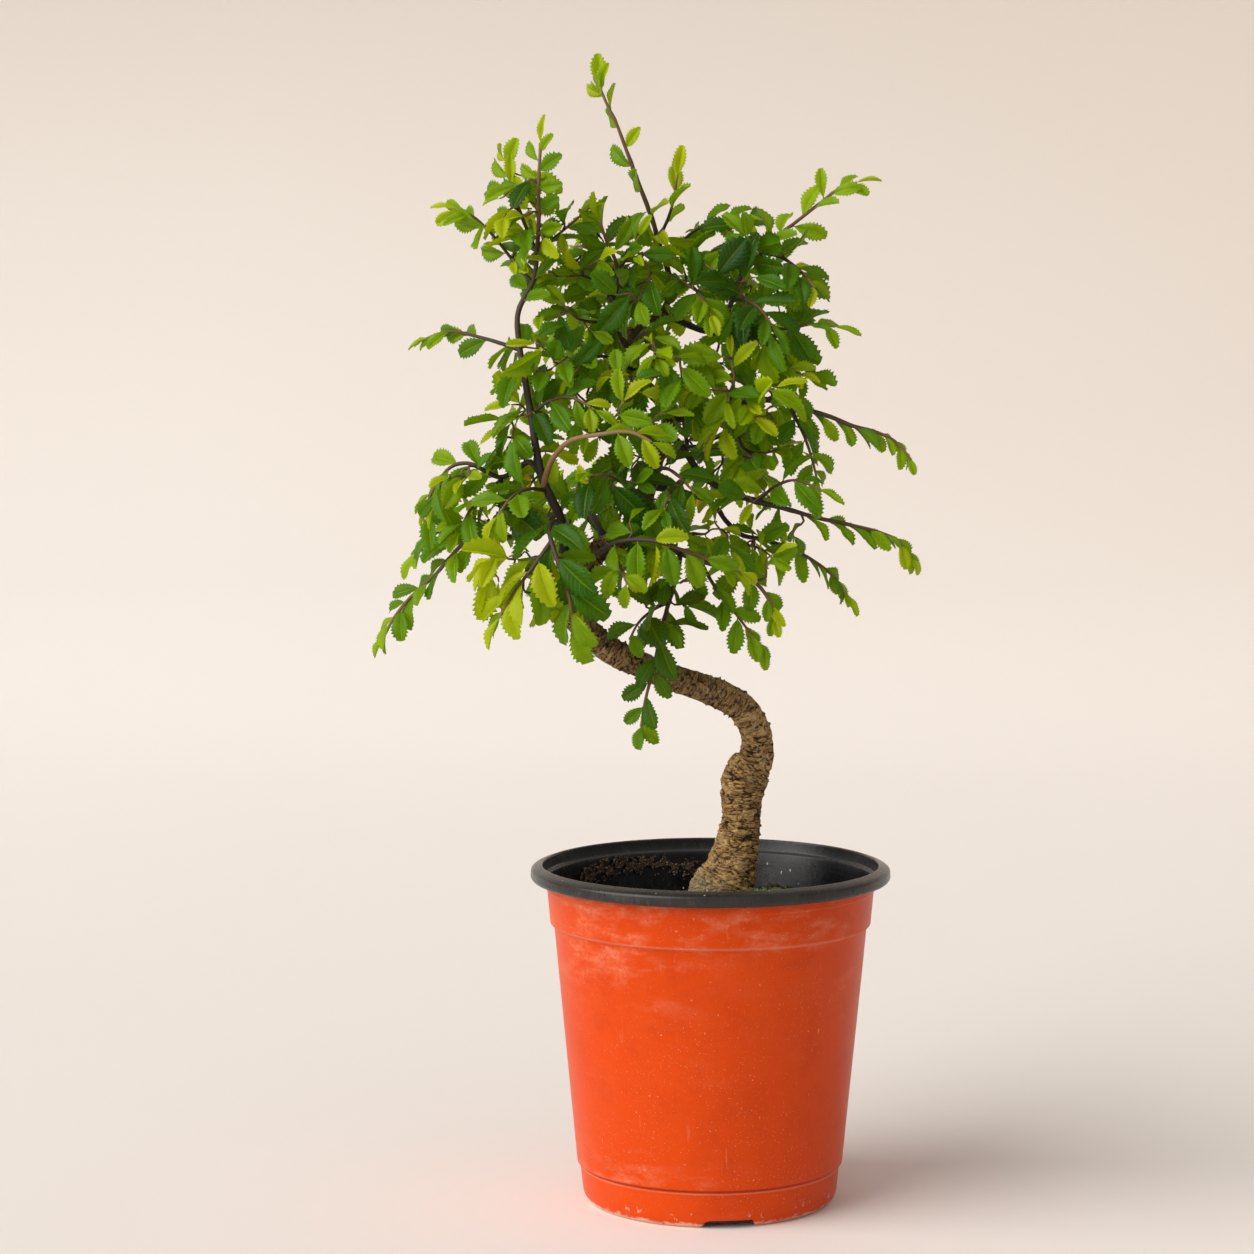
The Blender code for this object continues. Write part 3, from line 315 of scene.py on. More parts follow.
# Where the crown is filled with short side twigs: centre, reach along each axis, how many
CLUMPS = (
    ((-80, -22, 432), (18, 14, 26), 19),
    ((-38, -4, 412), (30, 26, 24), 32),
    ((18, -8, 410), (25, 20, 22), 24),
    ((-38, -20, 364), (32, 34, 28), 38),
    ((-78, -28, 362), (16, 16, 34), 24),
    ((18, -12, 357), (28, 26, 29), 36),
    ((-96, -28, 314), (26, 18, 22), 27),
    ((-36, -34, 306), (30, 28, 26), 32),
    ((12, -16, 302), (25, 22, 25), 22),
    ((-80, -62, 286), (21, 10, 14), 15),
    ((-22, -30, 272), (16, 10, 13), 9),
    ((-50, 38, 306), (30, 24, 18), 14),
    ((4, 38, 336), (32, 24, 22), 18),
    ((-44, 38, 386), (32, 22, 24), 18),
    ((8, 26, 396), (22, 18, 20), 11),
)


# ---------------------------------------------------------------- materials


class Shader:
    """One material, with its nodes added and wired a call at a time."""

    def __init__(self, name):
        self.material = bpy.data.materials.new(name)
        self.material.use_nodes = True
        self.tree = self.material.node_tree
        self.tree.nodes.clear()
        self.output = self.tree.nodes.new("ShaderNodeOutputMaterial")

    def add(self, kind, inputs=(), **settings):
        made = self.tree.nodes.new("ShaderNode" + kind)
        for key, value in settings.items():
            setattr(made, key, value)
        for key, value in dict(inputs).items():
            self.put(made.inputs[key], value)
        return made

    def put(self, socket, value):
        if isinstance(value, bpy.types.NodeSocket):
            self.tree.links.new(value, socket)
        elif socket.type == "RGBA" and len(value) == 3:
            socket.default_value = (*value, 1)
        else:
            socket.default_value = value

    def place(self):
        return self.add("TexCoord").outputs["Object"]

    def stretched(self, scale, turn=(0, 0, 0)):
        mapping = self.add("Mapping", {"Vector": self.place(), "Scale": scale, "Rotation": turn})
        return mapping.outputs["Vector"]

    def noise(self, scale, detail=3, roughness=0.55, vector=None, distortion=0):
        made = self.add("TexNoise", {"Vector": vector or self.place(), "Scale": scale, "Detail": detail,
                                     "Roughness": roughness, "Distortion": distortion})
        return made.outputs["Fac"]

    def math(self, operation, a, b=0.0, clamp=False):
        made = self.add("Math", {0: a, 1: b}, operation=operation, use_clamp=clamp)
        return made.outputs[0]

    def times(self, a, b, clamp=False):
        return self.math("MULTIPLY", a, b, clamp)

    def plus(self, a, b, clamp=False):
        return self.math("ADD", a, b, clamp)

    def minus(self, a, b, clamp=False):
        return self.math("SUBTRACT", a, b, clamp)

    def most(self, a, b):
        return self.math("MAXIMUM", a, b)

    def away(self, value, middle):
        """How far a value is from the middle, on either side."""
        return self.math("ABSOLUTE", self.minus(value, middle))

    def ramp(self, factor, *stops):
        """Colours or grey levels at places from 0 to 1."""
        made = self.add("ValToRGB", {"Fac": factor})
        elements = made.color_ramp.elements
        while len(elements) < len(stops):
            elements.new(0.5)
        for element, (at, colour) in zip(elements, stops):
            element.position = at
            element.color = (colour,) * 3 + (1,) if isinstance(colour, (int, float)) else (*colour, 1)
        return made.outputs["Color"]

    def between(self, value, low, high, to_low=0.0, to_high=1.0):
        made = self.add("MapRange", {"Value": value, "From Min": low, "From Max": high, "To Min": to_low,
                                     "To Max": to_high})
        return made.outputs["Result"]

    def mix(self, factor, a, b, blend="MIX"):
        made = self.add("Mix", data_type="RGBA", blend_type=blend)
        self.put(made.inputs["Factor"], factor)
        for socket, value in ((made.inputs["A"], a), (made.inputs["B"], b)):
            self.put(socket, value)
        return made.outputs["Result"]

    def xyz(self, vector=None):
        return self.add("SeparateXYZ", {"Vector": vector or self.place()}).outputs

    def attribute(self, name):
        return self.xyz(self.add("Attribute", attribute_name=name).outputs["Vector"])

    def bump(self, height, strength, distance):
        made = self.add("Bump", {"Height": height, "Strength": strength, "Distance": distance})
        return made.outputs["Normal"]

    def principled(self, colour, roughness, normal, shine=0.5):
        inputs = {"Base Color": colour, "Roughness": roughness, "Metallic": 0.0, "Normal": normal,
                  "Specular IOR Level": shine}
        return self.add("BsdfPrincipled", inputs).outputs["BSDF"]

    def finish(self, surface):
        self.tree.links.new(surface, self.output.inputs["Surface"])
        return self.material


def terracotta_plastic():
    """Orange injection-moulded plastic with lime scale in smeared, worn-looking patches and fine pale specks, a
    painted highlight along the collar step, and at the foot step a painted shade line with a painted highlight
    under it.
    """
    s = Shader("terracotta_plastic")
    x, _, z = s.xyz()
    cloud = s.noise(30, 4, 0.6, s.stretched((1, 1, 2.1)))
    smear = s.noise(95, 7, 0.72, s.stretched((0.55, 0.55, 1.8), (0, 0.3, 0)))
    patch = s.times(s.between(cloud, 0.47, 0.60), s.between(smear, 0.40, 0.60), True)
    collar = s.between(z, 92 * MM, 120 * MM)
    above_foot = s.times(s.between(z, 36 * MM, 19 * MM), s.between(z, 16 * MM, 18 * MM))
    below_step = s.between(z, 121 * MM, 124 * MM)
    left = s.most(s.between(x, 5 * MM, -25 * MM), s.times(below_step, 0.85))
    zone = s.times(s.most(collar, above_foot), left)
    right_edge = s.times(s.between(x, 48 * MM, 62 * MM), s.between(z, 70 * MM, 110 * MM))
    zone = s.plus(s.most(zone, s.times(right_edge, 0.8)), 0.07)
    scale = s.times(patch, zone, True)
    grit = s.between(s.noise(620, 3, 0.7), 0.45, 0.62)
    scale = s.times(scale, s.between(grit, 0, 1, 0.55, 1))
    specks = s.times(s.between(s.noise(1500, 1, 0.5), 0.68, 0.74), 0.8)
    dots = s.between(s.noise(620, 1, 0.5), 0.755, 0.78)
    speck_zone = s.between(s.noise(24, 2, 0.5), 0.35, 0.62, 0.25, 1)
    scratch = s.between(s.noise(240, 3, 0.5, s.stretched((1, 1, 0.10), (0.1, 0.05, 0))), 0.68, 0.74, 0, 0.4)
    # Painted highlight: a pale line along the collar step, at 124.8 mm.
    painted_collar_step_highlight = s.between(s.away(z, 124.8 * MM), 1.1 * MM, 0.2 * MM, 0, 0.45)
    worn_place = s.noise(170, 4, 0.7, s.stretched((1, 1, 1.8)))
    worn_edge = s.between(s.plus(z, s.times(worn_place, 8 * MM)), 6.6 * MM, 5.0 * MM)
    streak = s.times(s.between(z, 10 * MM, 3 * MM), s.between(s.noise(110, 6, 0.75), 0.60, 0.63))
    chips = s.most(worn_edge, streak)
    dust = s.times(s.plus(specks, s.plus(dots, scratch), True), speck_zone)
    # marks holds the lime scale and specks, and also the painted highlight along the collar step; it sets
    # colour, roughness and bump.
    marks = s.plus(s.plus(s.times(scale, 0.8), dust), painted_collar_step_highlight, True)
    shade = s.mix(s.noise(16, 3), (0.70, 0.068, 0.001), (0.60, 0.049, 0.001))
    shade = s.mix(s.between(s.noise(55, 5, 0.7), 0.5, 0.75, 0, 0.35), shade, (0.42, 0.026, 0.002))
    # The pale colour of the marks, which also paints the highlight along the collar step.
    colour = s.mix(s.times(marks, 0.62), shade, (0.80, 0.34, 0.20))
    colour = s.mix(s.times(chips, 0.8), colour, (0.84, 0.55, 0.40))
    # Painted shade: a dark line along the foot step, at 16.9 mm.
    painted_foot_step_shade = s.between(s.away(z, 16.9 * MM), 1.0 * MM, 0.2 * MM, 0, 0.7)
    colour = s.mix(painted_foot_step_shade, colour, (0.22, 0.016, 0.003))
    # Painted highlight: a pale line just under the foot step, broken up by the smear noise.
    painted_foot_step_highlight = s.between(s.away(z, 15.6 * MM), 0.5 * MM, 0.1 * MM, 0, 0.5)
    colour = s.mix(s.times(painted_foot_step_highlight, smear), colour, (0.84, 0.45, 0.30))
    rough = s.between(marks, 0, 1, 0.36, 0.7)
    grain = s.noise(700, 3, 0.6)
    height = s.plus(s.times(grain, 0.5), s.times(s.plus(marks, chips), 0.6))
    normal = s.bump(height, 0.16, 0.25 * MM)
    return s.finish(s.principled(colour, rough, normal, shine=0.15))


def black_plastic():
    """Black polypropylene: scuffed grey on the roll with a painted highlight along its crest; darker inside,
    partly as painted shade, glossier and dusty, with a painted reflection on the ledge.
    """
    s = Shader("black_plastic")
    x, y, _ = s.xyz()
    reach = s.math("SQRT", s.plus(s.times(x, x), s.times(y, y)))
    roll = s.between(reach, 74.2 * MM, 75.2 * MM)
    # Painted highlight: a thin line along the crest of the roll.
    painted_crest_highlight = s.between(s.away(reach, 75.1 * MM), 0.35 * MM, 0.05 * MM)
    # Painted reflection: a band on the inner ledge, painted pale grey.
    painted_ledge_reflection = s.between(s.away(reach, 73.3 * MM), 1.2 * MM, 0.4 * MM)
    scuff = s.between(s.noise(420, 6, 0.75, s.stretched((1, 1, 0.35))), 0.52, 0.74)
    patch = s.between(s.noise(34, 3, 0.6), 0.38, 0.66)
    marks = s.times(scuff, patch, True)
    dust = s.between(s.noise(1000, 2, 0.6), 0.70, 0.78)
    nicks = s.between(s.noise(300, 1, 0.5), 0.77, 0.79)
    pale = s.plus(s.times(marks, 0.8), s.times(dust, 0.6), True)
    # The inside is painted much darker than the roll: partly painted shade in the pot's hollow, partly the
    # roll's own scuffed grey outside.
    inside = s.mix(s.noise(26, 4), (0.0012, 0.0016, 0.0024), (0.004, 0.005, 0.007))
    outside = s.mix(s.noise(60, 5, 0.7), (0.010, 0.0095, 0.009), (0.036, 0.033, 0.030))
    # The pale painted reflection on the ledge.
    inside = s.mix(s.times(painted_ledge_reflection, 0.7), inside, (0.075, 0.078, 0.082))
    # The roll's outside colour, and the darker inside colour with its painted shade, chosen by reach.
    shade = s.mix(roll, inside, outside)
    colour = s.mix(s.times(pale, 0.32), shade, (0.30, 0.28, 0.25))
    colour = s.mix(s.times(nicks, 0.75), colour, (0.62, 0.58, 0.52))
    # The painted highlight along the crest, broken up by noise.
    colour = s.mix(s.times(painted_crest_highlight, s.between(s.noise(90, 4, 0.7), 0.35, 0.6, 0.1, 0.6)), colour,
                   (0.42, 0.34, 0.27))
    rough = s.between(s.noise(60, 4), 0.3, 0.7, 0.22, 0.34)
    normal = s.bump(s.plus(s.noise(900, 3), s.times(scuff, 0.8)), 0.2, 0.2 * MM)
    return s.finish(s.principled(colour, rough, normal, shine=0.33))


def soil_material():
    s = Shader("damp_potting_mix")
    tone = s.attribute("tone")
    fine = s.noise(1500, 4, 0.7)
    clump = s.noise(260, 4, 0.6)
    dark = s.ramp(s.plus(s.times(fine, 0.6), s.times(clump, 0.5)),
                  (0.3, (0.008, 0.005, 0.003)), (0.55, (0.035, 0.021, 0.012)), (0.8, (0.11, 0.07, 0.04)))
    moss = s.mix(fine, (0.045, 0.10, 0.012), (0.16, 0.22, 0.03))
    colour = s.mix(s.between(tone[0], 0.35, 0.65), dark, moss)
    height = s.plus(fine, clump)
    return s.finish(s.principled(colour, 0.92, s.bump(height, 0.7, 0.6 * MM)))


def grain_material():
    """Loose bits on the soil: bark crumbs, grit and a little perlite, each with its own tone."""
    s = Shader("grit_and_bark_crumbs")
    tone = s.attribute("tone")
    own = s.ramp(tone[0], (0.0, (0.012, 0.008, 0.005)), (0.4, (0.06, 0.034, 0.018)),
                 (0.7, (0.17, 0.115, 0.065)), (0.9, (0.33, 0.28, 0.21)), (1.0, (0.62, 0.6, 0.55)))
    fine = s.noise(1800, 4, 0.7)
    colour = s.mix(0.55, own, s.ramp(fine, (0.25, 0.25), (0.75, 1.0)), "MULTIPLY")
    return s.finish(s.principled(colour, 0.9, s.bump(fine, 0.6, 0.4 * MM)))


def moss_material():
    s = Shader("moss")
    tone = s.attribute("tone")
    colour = s.mix(tone[0], (0.035, 0.09, 0.010), (0.22, 0.30, 0.05))
    return s.finish(s.principled(colour, 0.85, s.bump(s.noise(2500, 3), 0.5, 0.3 * MM)))


def bark_material():
    """Wrinkled bark: tan plates between dark cracks that run round the trunk, greyer and darker up the tree."""
    s = Shader("wrinkled_bark")
    relief, age, lichen = s.attribute("tone")
    wrap = s.add("Attribute", attribute_name="wrap").outputs["Vector"]

    def unrolled(scale, shift=(0, 0, 0)):
        return s.add("Mapping", {"Vector": wrap, "Scale": scale, "Location": shift}).outputs["Vector"]

    def crack(vector, scale, width, detail=2, distortion=0.0):
        """1 in a thin line where a noise crosses its middle, 0 elsewhere."""
        away = s.away(s.noise(scale, detail, 0.5, vector, distortion), 0.5)
        return s.between(away, width, 0)

    bend = s.noise(0.16, 2, 0.5, wrap)
    rings = crack(unrolled((0.17, 0.17, 1)), 0.50, 0.050, 2, 0.35)
    fine = crack(unrolled((0.24, 0.24, 1), (7, 2, 5)), 1.0, 0.045, 2, 0.5)
    worms = crack(unrolled((0.6, 0.6, 1), (3, 9, 1)), 0.42, 0.040, 1, 1.2)
    broken = s.between(s.noise(0.30, 2, 0.5, wrap), 0.40, 0.52)
    grain = s.noise(2.2, 5, 0.72, unrolled((0.5, 0.5, 1)))
    mottle = s.noise(0.20, 4, 0.6, unrolled((1, 1, 0.7), (4, 4, 4)))
    dark = s.most(s.times(rings, broken), s.times(fine, 0.5))
    level = s.plus(s.times(relief, 0.8), s.times(s.minus(grain, 0.5), 0.5))
    level = s.plus(level, s.times(s.minus(bend, 0.5), 0.5))
    level = s.minus(level, s.times(dark, 0.5), True)
    low = s.ramp(level, (0.0, (0.028, 0.013, 0.004)), (0.16, (0.15, 0.075, 0.022)),
                 (0.36, (0.38, 0.215, 0.070)), (0.78, (0.70, 0.46, 0.19)))
    middle = s.ramp(level, (0.0, (0.020, 0.010, 0.004)), (0.18, (0.12, 0.062, 0.021)),
                    (0.40, (0.32, 0.185, 0.066)), (0.80, (0.57, 0.37, 0.15)))
    high = s.ramp(level, (0.02, (0.012, 0.007, 0.004)), (0.24, (0.066, 0.039, 0.017)),
                  (0.50, (0.17, 0.108, 0.048)), (0.86, (0.37, 0.255, 0.130)))
    colour = s.mix(s.between(age, 0, 0.5), low, middle)
    colour = s.mix(s.between(age, 0.5, 1), colour, high)
    colour = s.mix(s.between(mottle, 0.45, 0.7, 0, 0.5), colour, (0.24, 0.145, 0.060))
    pale = s.times(worms, s.between(s.noise(0.12, 2, 0.5, unrolled((1, 1, 1), (8, 1, 3))), 0.46, 0.6))
    colour = s.mix(s.times(pale, 0.7), colour, (0.78, 0.60, 0.36))
    grey = s.ramp(s.noise(1.5, 5, 0.75, wrap), (0.38, (0.060, 0.046, 0.026)), (0.62, (0.52, 0.43, 0.28)))
    colour = s.mix(lichen, colour, grey)
    height = s.minus(s.plus(grain, s.times(pale, 0.5)), s.times(dark, 1.1))
    normal = s.bump(height, 0.9, 0.7 * MM)
    return s.finish(s.principled(colour, 0.8, normal, shine=0.25))


def twig_material():
    """Dark brown old wood that turns red-brown and then green towards the growing tips."""
    s = Shader("twig_bark")
    age, own, _ = s.attribute("tone")
    fine = s.noise(1300, 4, 0.7)
    stage = s.ramp(age, (0.0, (0.030, 0.019, 0.012)), (0.4, (0.085, 0.046, 0.022)),
                   (0.72, (0.20, 0.095, 0.035)), (1.0, (0.26, 0.27, 0.05)))
    tan = s.mix(s.between(own, 0.5, 1), stage, (0.34, 0.20, 0.075))
    colour = s.mix(0.6, tan, s.ramp(fine, (0.3, 0.35), (0.7, 1.0)), "MULTIPLY")
    return s.finish(s.principled(colour, 0.62, s.bump(fine, 0.5, 0.25 * MM)))


def leaf_material():
    """A glossy leaf with a pale midrib, sunk side veins and light that comes through from behind."""
    s = Shader("elm_leaf")
    youth, own, yellow = s.attribute("tone")
    across, along, _ = s.attribute("place")
    side = s.math("ABSOLUTE", across)
    cloud = s.noise(330, 3, 0.6)
    level = s.plus(youth, s.times(s.minus(cloud, 0.5), 0.22))
    level = s.plus(level, s.times(s.minus(own, 0.5), 0.16))
    green = s.ramp(level, (0.0, (0.005, 0.058, 0.003)), (0.28, (0.026, 0.135, 0.001)),
                   (0.55, (0.110, 0.280, 0.001)), (0.8, (0.29, 0.46, 0.001)), (1.0, (0.50, 0.58, 0.004)))
    midrib = s.between(side, 0.09, 0.02)
    wave = s.math("FRACT", s.minus(s.times(along, 9), s.times(side, 2.4)))
    vein = s.between(s.away(wave, 0.5), 0.13, 0.02)
    vein = s.times(vein, s.between(side, 1.0, 0.75))
    lines = s.most(midrib, s.times(vein, 0.5))
    pale = s.mix(0.5, green, (0.42, 0.55, 0.03))
    colour = s.mix(s.times(lines, 0.55), green, pale)
    colour = s.mix(yellow, colour, (0.75, 0.42, 0.02))
    height = s.minus(s.times(cloud, 0.3), lines)
    normal = s.bump(height, 0.45, 0.25 * MM)
    rough = s.between(s.noise(500, 2), 0.3, 0.7, 0.30, 0.46)
    front = s.principled(colour, rough, normal, shine=0.22)
    through = s.mix(0.35, colour, (0.46, 0.60, 0.0))
    glow = s.add("BsdfTranslucent", {"Color": through, "Normal": normal}).outputs["BSDF"]
    both = s.add("MixShader", {"Fac": 0.42, 1: front, 2: glow}).outputs["Shader"]
    return s.finish(both)


def studio_material():
    s = Shader("warm_paper")
    x, _, z = s.xyz()
    fine = s.noise(3, 2)
    colour = s.mix(fine, (0.875, 0.835, 0.810), (0.895, 0.855, 0.830))
    # Painted shade: the cove and the wall are painted darker the higher they rise.
    colour = s.mix(s.between(z, 0.0, 0.12, 0, 0.34), colour, (0.66, 0.610, 0.560))
    colour = s.mix(s.between(z, 0.1, 0.9, 0, 0.9), colour, (0.62, 0.560, 0.505))
    # Painted shade: the right side is painted darker, on the wall more than on the floor.
    painted_shade_right = s.times(s.between(x, -0.5, 0.8), s.between(z, 0.0, 0.3, 0.2, 0.55))
    colour = s.mix(painted_shade_right, colour, (0.62, 0.540, 0.470))
    return s.finish(s.principled(colour, 0.9, s.bump(s.noise(400, 3), 0.05, 0.2 * MM)))


# ---------------------------------------------------------------- meshes


class Shape:
    """Points and faces that are being gathered for one piece, with a tone and a place for each point."""

    def __init__(self):
        self.points = []
        self.tones = []
        self.places = []
        self.wraps = []
        self.faces = []
        self.slots = []

    def point(self, co, tone=(0, 0, 0), place=(0, 0), wrap=None):
        self.points.append(co)
        if wrap:
            self.wraps.append(wrap)
        self.tones.append((*tone, 1))
        self.places.append((*place, 0, 1))
        return len(self.points) - 1

    def face(self, corners, slot=0):
        self.faces.append(corners)
        self.slots.append(slot)

    def strip(self, low, high, slot=0, closed=True):
        count = len(low)
        for i in range(count if closed else count - 1):
            j = (i + 1) % count
            self.face((low[i], low[j], high[j], high[i]), slot)

    def caps(self, low, high, first, last, slot=0):
        """Closes both ends of a tube with fans round two points."""
        for i in range(len(first)):
            j = (i + 1) % len(first)
            self.face((low, first[j], first[i]), slot)
            self.face((high, last[i], last[j]), slot)

    def piece(self, name, materials, sharp=None):
        mesh = bpy.data.meshes.new(name)
        mesh.from_pydata(self.points, [], self.faces)
        for material in materials:
            mesh.materials.append(material)
        mesh.polygons.foreach_set("material_index", self.slots)
        for label, values in (("tone", self.tones), ("place", self.places)):
            attribute = mesh.attributes.new(label, "FLOAT_COLOR", "POINT")
            attribute.data.foreach_set("color", [number for value in values for number in value])
        if self.wraps:
            attribute = mesh.attributes.new("wrap", "FLOAT_VECTOR", "POINT")
            attribute.data.foreach_set("vector", [number for value in self.wraps for number in value])
        mesh.shade_smooth()
        if sharp is not None:
            mesh.set_sharp_from_angle(angle=math.radians(sharp))
        mesh.update()
        obj = bpy.data.objects.new(name, mesh)
        bpy.context.scene.collection.objects.link(obj)
        return obj


def turns(count):
    """Angles spaced evenly once round, each with its cosine and sine."""
    for i in range(count):
        turn = 2 * math.pi * i / count
        yield turn, math.cos(turn), math.sin(turn)


def tube_faces(low, corners):
    """The faces between two rings of a hull, whose points follow each other from low."""
    high = low + corners
    return [(low + i, low + (i + 1) % corners, high + (i + 1) % corners, high + i) for i in range(corners)]


def stand_for(obj, node):
    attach(obj, "root")
    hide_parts(node)


# ---------------------------------------------------------------- pot


def rounded(corners):
    """The line through (radius, height, fillet) corners in mm, with each fillet as a short curve, in metres."""
    line = []
    for i, (r, z, fillet) in enumerate(corners):
        here = Vector((r, z))
        if fillet == 0 or i in (0, len(corners) - 1):
            line.append(here * MM)
            continue
        before = Vector(corners[i - 1][:2])
        after = Vector(corners[i + 1][:2])
        start = here + (before - here).normalized() * min(fillet, (before - here).length * 0.48)
        end = here + (after - here).normalized() * min(fillet, (after - here).length * 0.48)
        for step in range(FILLET_STEPS + 1):
            t = step / FILLET_STEPS
            line.append((start * (1 - t) ** 2 + here * (2 * t * (1 - t)) + end * t ** 2) * MM)
    return line


def divided(line):
    """The line with its long stretches cut into shorter ones."""
    made = [line[0]]
    for a, b in zip(line, line[1:]):
        count = max(1, math.ceil((b - a).length / LONGEST_FACE))
        made += [a.lerp(b, (i + 1) / count) for i in range(count)]
    return made


def wall_corners(depth):
    """The wall's section from the ground ring to its top edge, moved in from the outside by depth, in mm."""
    top = WALL_TOP / MM
    out = WALL_TOP_RADIUS / MM
    lift = 0.45 * depth
    return [
        (BASE_RADIUS - 1.2, depth, 0),
        (BASE_RADIUS + 0.6, depth, 0.8),
        (BASE_RADIUS + 3.5 - depth, 2.4 + lift, 2.2),
        (BASE_RADIUS + 4.4 - depth, 8.5, 3),
        (BASE_RADIUS + 5.0 - depth, 16.5 + lift, 0.3),
        (BASE_RADIUS + 6.4 - depth, 17.3 + lift, 0.5),
        (out - 3.8 - depth, 124.0, 0.5),
        (out - 2.15 - depth, 124.9, 0.4),
        (out - 0.75 - depth, 139.8, 0.2),
        (out - 0.15 - depth, 140.4, 0.2),
        (out - depth, top, 0),
    ]


def drain_lift(x, y):
    """How high the slots in the foot lift the ground ring at this place."""
    reach = math.hypot(x, y)
    if reach < (BASE_RADIUS - DRAIN_DEPTH) * MM:
        return 0
    height = 0
    for number in range(DRAIN_COUNT):
        turn = math.radians(-90) + DRAIN_TURN + number * 2 * math.pi / DRAIN_COUNT
        across = abs(-math.sin(turn) * x + math.cos(turn) * y)
        if math.cos(turn) * x + math.sin(turn) * y > 0:
            share = (DRAIN_WIDTH / 2 * MM - across) / (1.6 * MM)
            height = max(height, min(max(share, 0), 1) * DRAIN_HEIGHT * MM)
    return height


def turned(name, line, material):
    """A solid turned round the pot's axis. The line starts and ends on the axis."""
    shape = Shape()
    rings = []
    for radius, height in line[1:-1]:
        ring = []
        for _, cos, sin in turns(POT_SEGMENTS):
            out = Vector((cos, sin, 0))
            off = noise.noise(out * 1.3 + Vector((0, 0, height * 14))) * POT_WOBBLE
            x, y, _ = out * (radius + off)
            z = height
            if height < 2 * DRAIN_HEIGHT * MM:
                z = max(height, drain_lift(x, y) + 0.02 * height)
            ring.append(shape.point((x, y, z)))
        rings.append(ring)
    low = shape.point((0, 0, line[0][1]))
    high = shape.point((0, 0, line[-1][1]))
    shape.caps(low, high, rings[0], rings[-1])
    for a, b in zip(rings, rings[1:]):
        shape.strip(a, b)
    return shape.piece(name, [material], sharp=50)


def build_pot():
    wall = divided(rounded(wall_corners(0)))
    lining = divided(rounded(wall_corners(LAYER_WALL)))
    slot_end = BASE_RADIUS - DRAIN_DEPTH
    foot = [Vector((r * MM, 0)) for r in (20, 40, slot_end - 0.6, slot_end + 0.6)]
    floor = [Vector((r * MM, LAYER_WALL * MM)) for r in (20, 40)]
    section = [Vector((0, 0)), *foot, *wall, *lining[::-1], *floor[::-1], Vector((0, LAYER_WALL * MM))]
    outer = turned("terracotta_skin", section, terracotta_plastic())
    stand_for(outer, "pot_outer_layer")

    skin = LAYER_WALL + LAYER_GAP
    out = RIM_RADIUS / MM
    top = RIM_TOP / MM
    under = top - 6.7
    outside = wall_corners(skin)[:-1] + [(WALL_TOP_RADIUS / MM - skin, under - 0.2, 0)]
    roll = [
        (WALL_TOP_RADIUS / MM - skin, under, 0.2),
        (out - 0.9, under, 0.5),
        (out, under + 1.2, 0.7),
        (out - 0.2, top - 2.1, 0.9),
        (out - 1.8, top - 1.05, 0.7),
        (out - 4.9, top, 0.3),
        (out - 5.4, top - 0.7, 0.3),
        (out - 6.0, top - 5.4, 0.5),
        (out - 7.7, top - 6.0, 0.5),
    ]
    inside = wall_corners(skin + LAYER_WALL)[:-3]
    line = rounded(outside + roll + inside[::-1])
    section = [Vector((0, skin * MM)), *divided(line), Vector((0, (skin + LAYER_WALL) * MM))]
    inner = turned("black_liner_and_rim", section, black_plastic())
    stand_for(inner, "pot_inner_layer")


# ---------------------------------------------------------------- soil


def pebble(shape, centre, size, rng, slot, tone, flat=0.7):
    """A rough little lump: three rings of six points, pushed out of shape."""
    angle = rng.uniform(0, 6.28)
    turn = Matrix.Rotation(angle, 3, Vector([rng.uniform(-1, 1) for _ in range(3)]).normalized())
    rings = []
    for height in (-0.62, 0.0, 0.62):
        around = math.sqrt(1 - height * height)
        ring = []
        for i in range(6):
            angle = math.pi * (i + 0.5 * (height != 0)) / 3
            reach = rng.uniform(0.75, 1.15)
            local = Vector((math.cos(angle) * around, math.sin(angle) * around, height * flat)) * reach * size
            ring.append(shape.point(centre + turn @ local, tone))
        rings.append(ring)
    low = shape.point(centre + turn @ Vector((0, 0, -flat * size)), tone)
    high = shape.point(centre + turn @ Vector((0, 0, flat * size)), tone)
    shape.strip(rings[0], rings[1], slot)
    shape.strip(rings[1], rings[2], slot)
    shape.caps(low, high, rings[0], rings[2], slot)


def soil_level(x, y):
    """The height of the soil's rough surface, a little raised round the trunk."""
    reach = math.hypot(x, y) / SOIL_HIGH.x
    place = Vector((x, y, 0)) / MM
    rough = noise.noise(place * 0.09) * 0.9 + noise.noise(place * 0.31) * 0.5 + noise.noise(place * 0.9) * 0.22
    mound = 4.6 * math.exp(-((x / MM - 32) ** 2 + (y / MM - 52) ** 2) / 16 ** 2)
    return SOIL_TOP + SOIL_CROWN * (1 - reach ** 2) + (rough - 0.35 + mound) * MM


def mossy(x, y):
    """How mossy the soil is at this place, from 0 to 1. Moss grows at the back right."""
    place = Vector((x, y, 0)) / MM
    middle = Vector((30, 40, 0))
    return 1.15 - (place - middle).length / 24 + noise.noise(place * 0.12) * 0.5


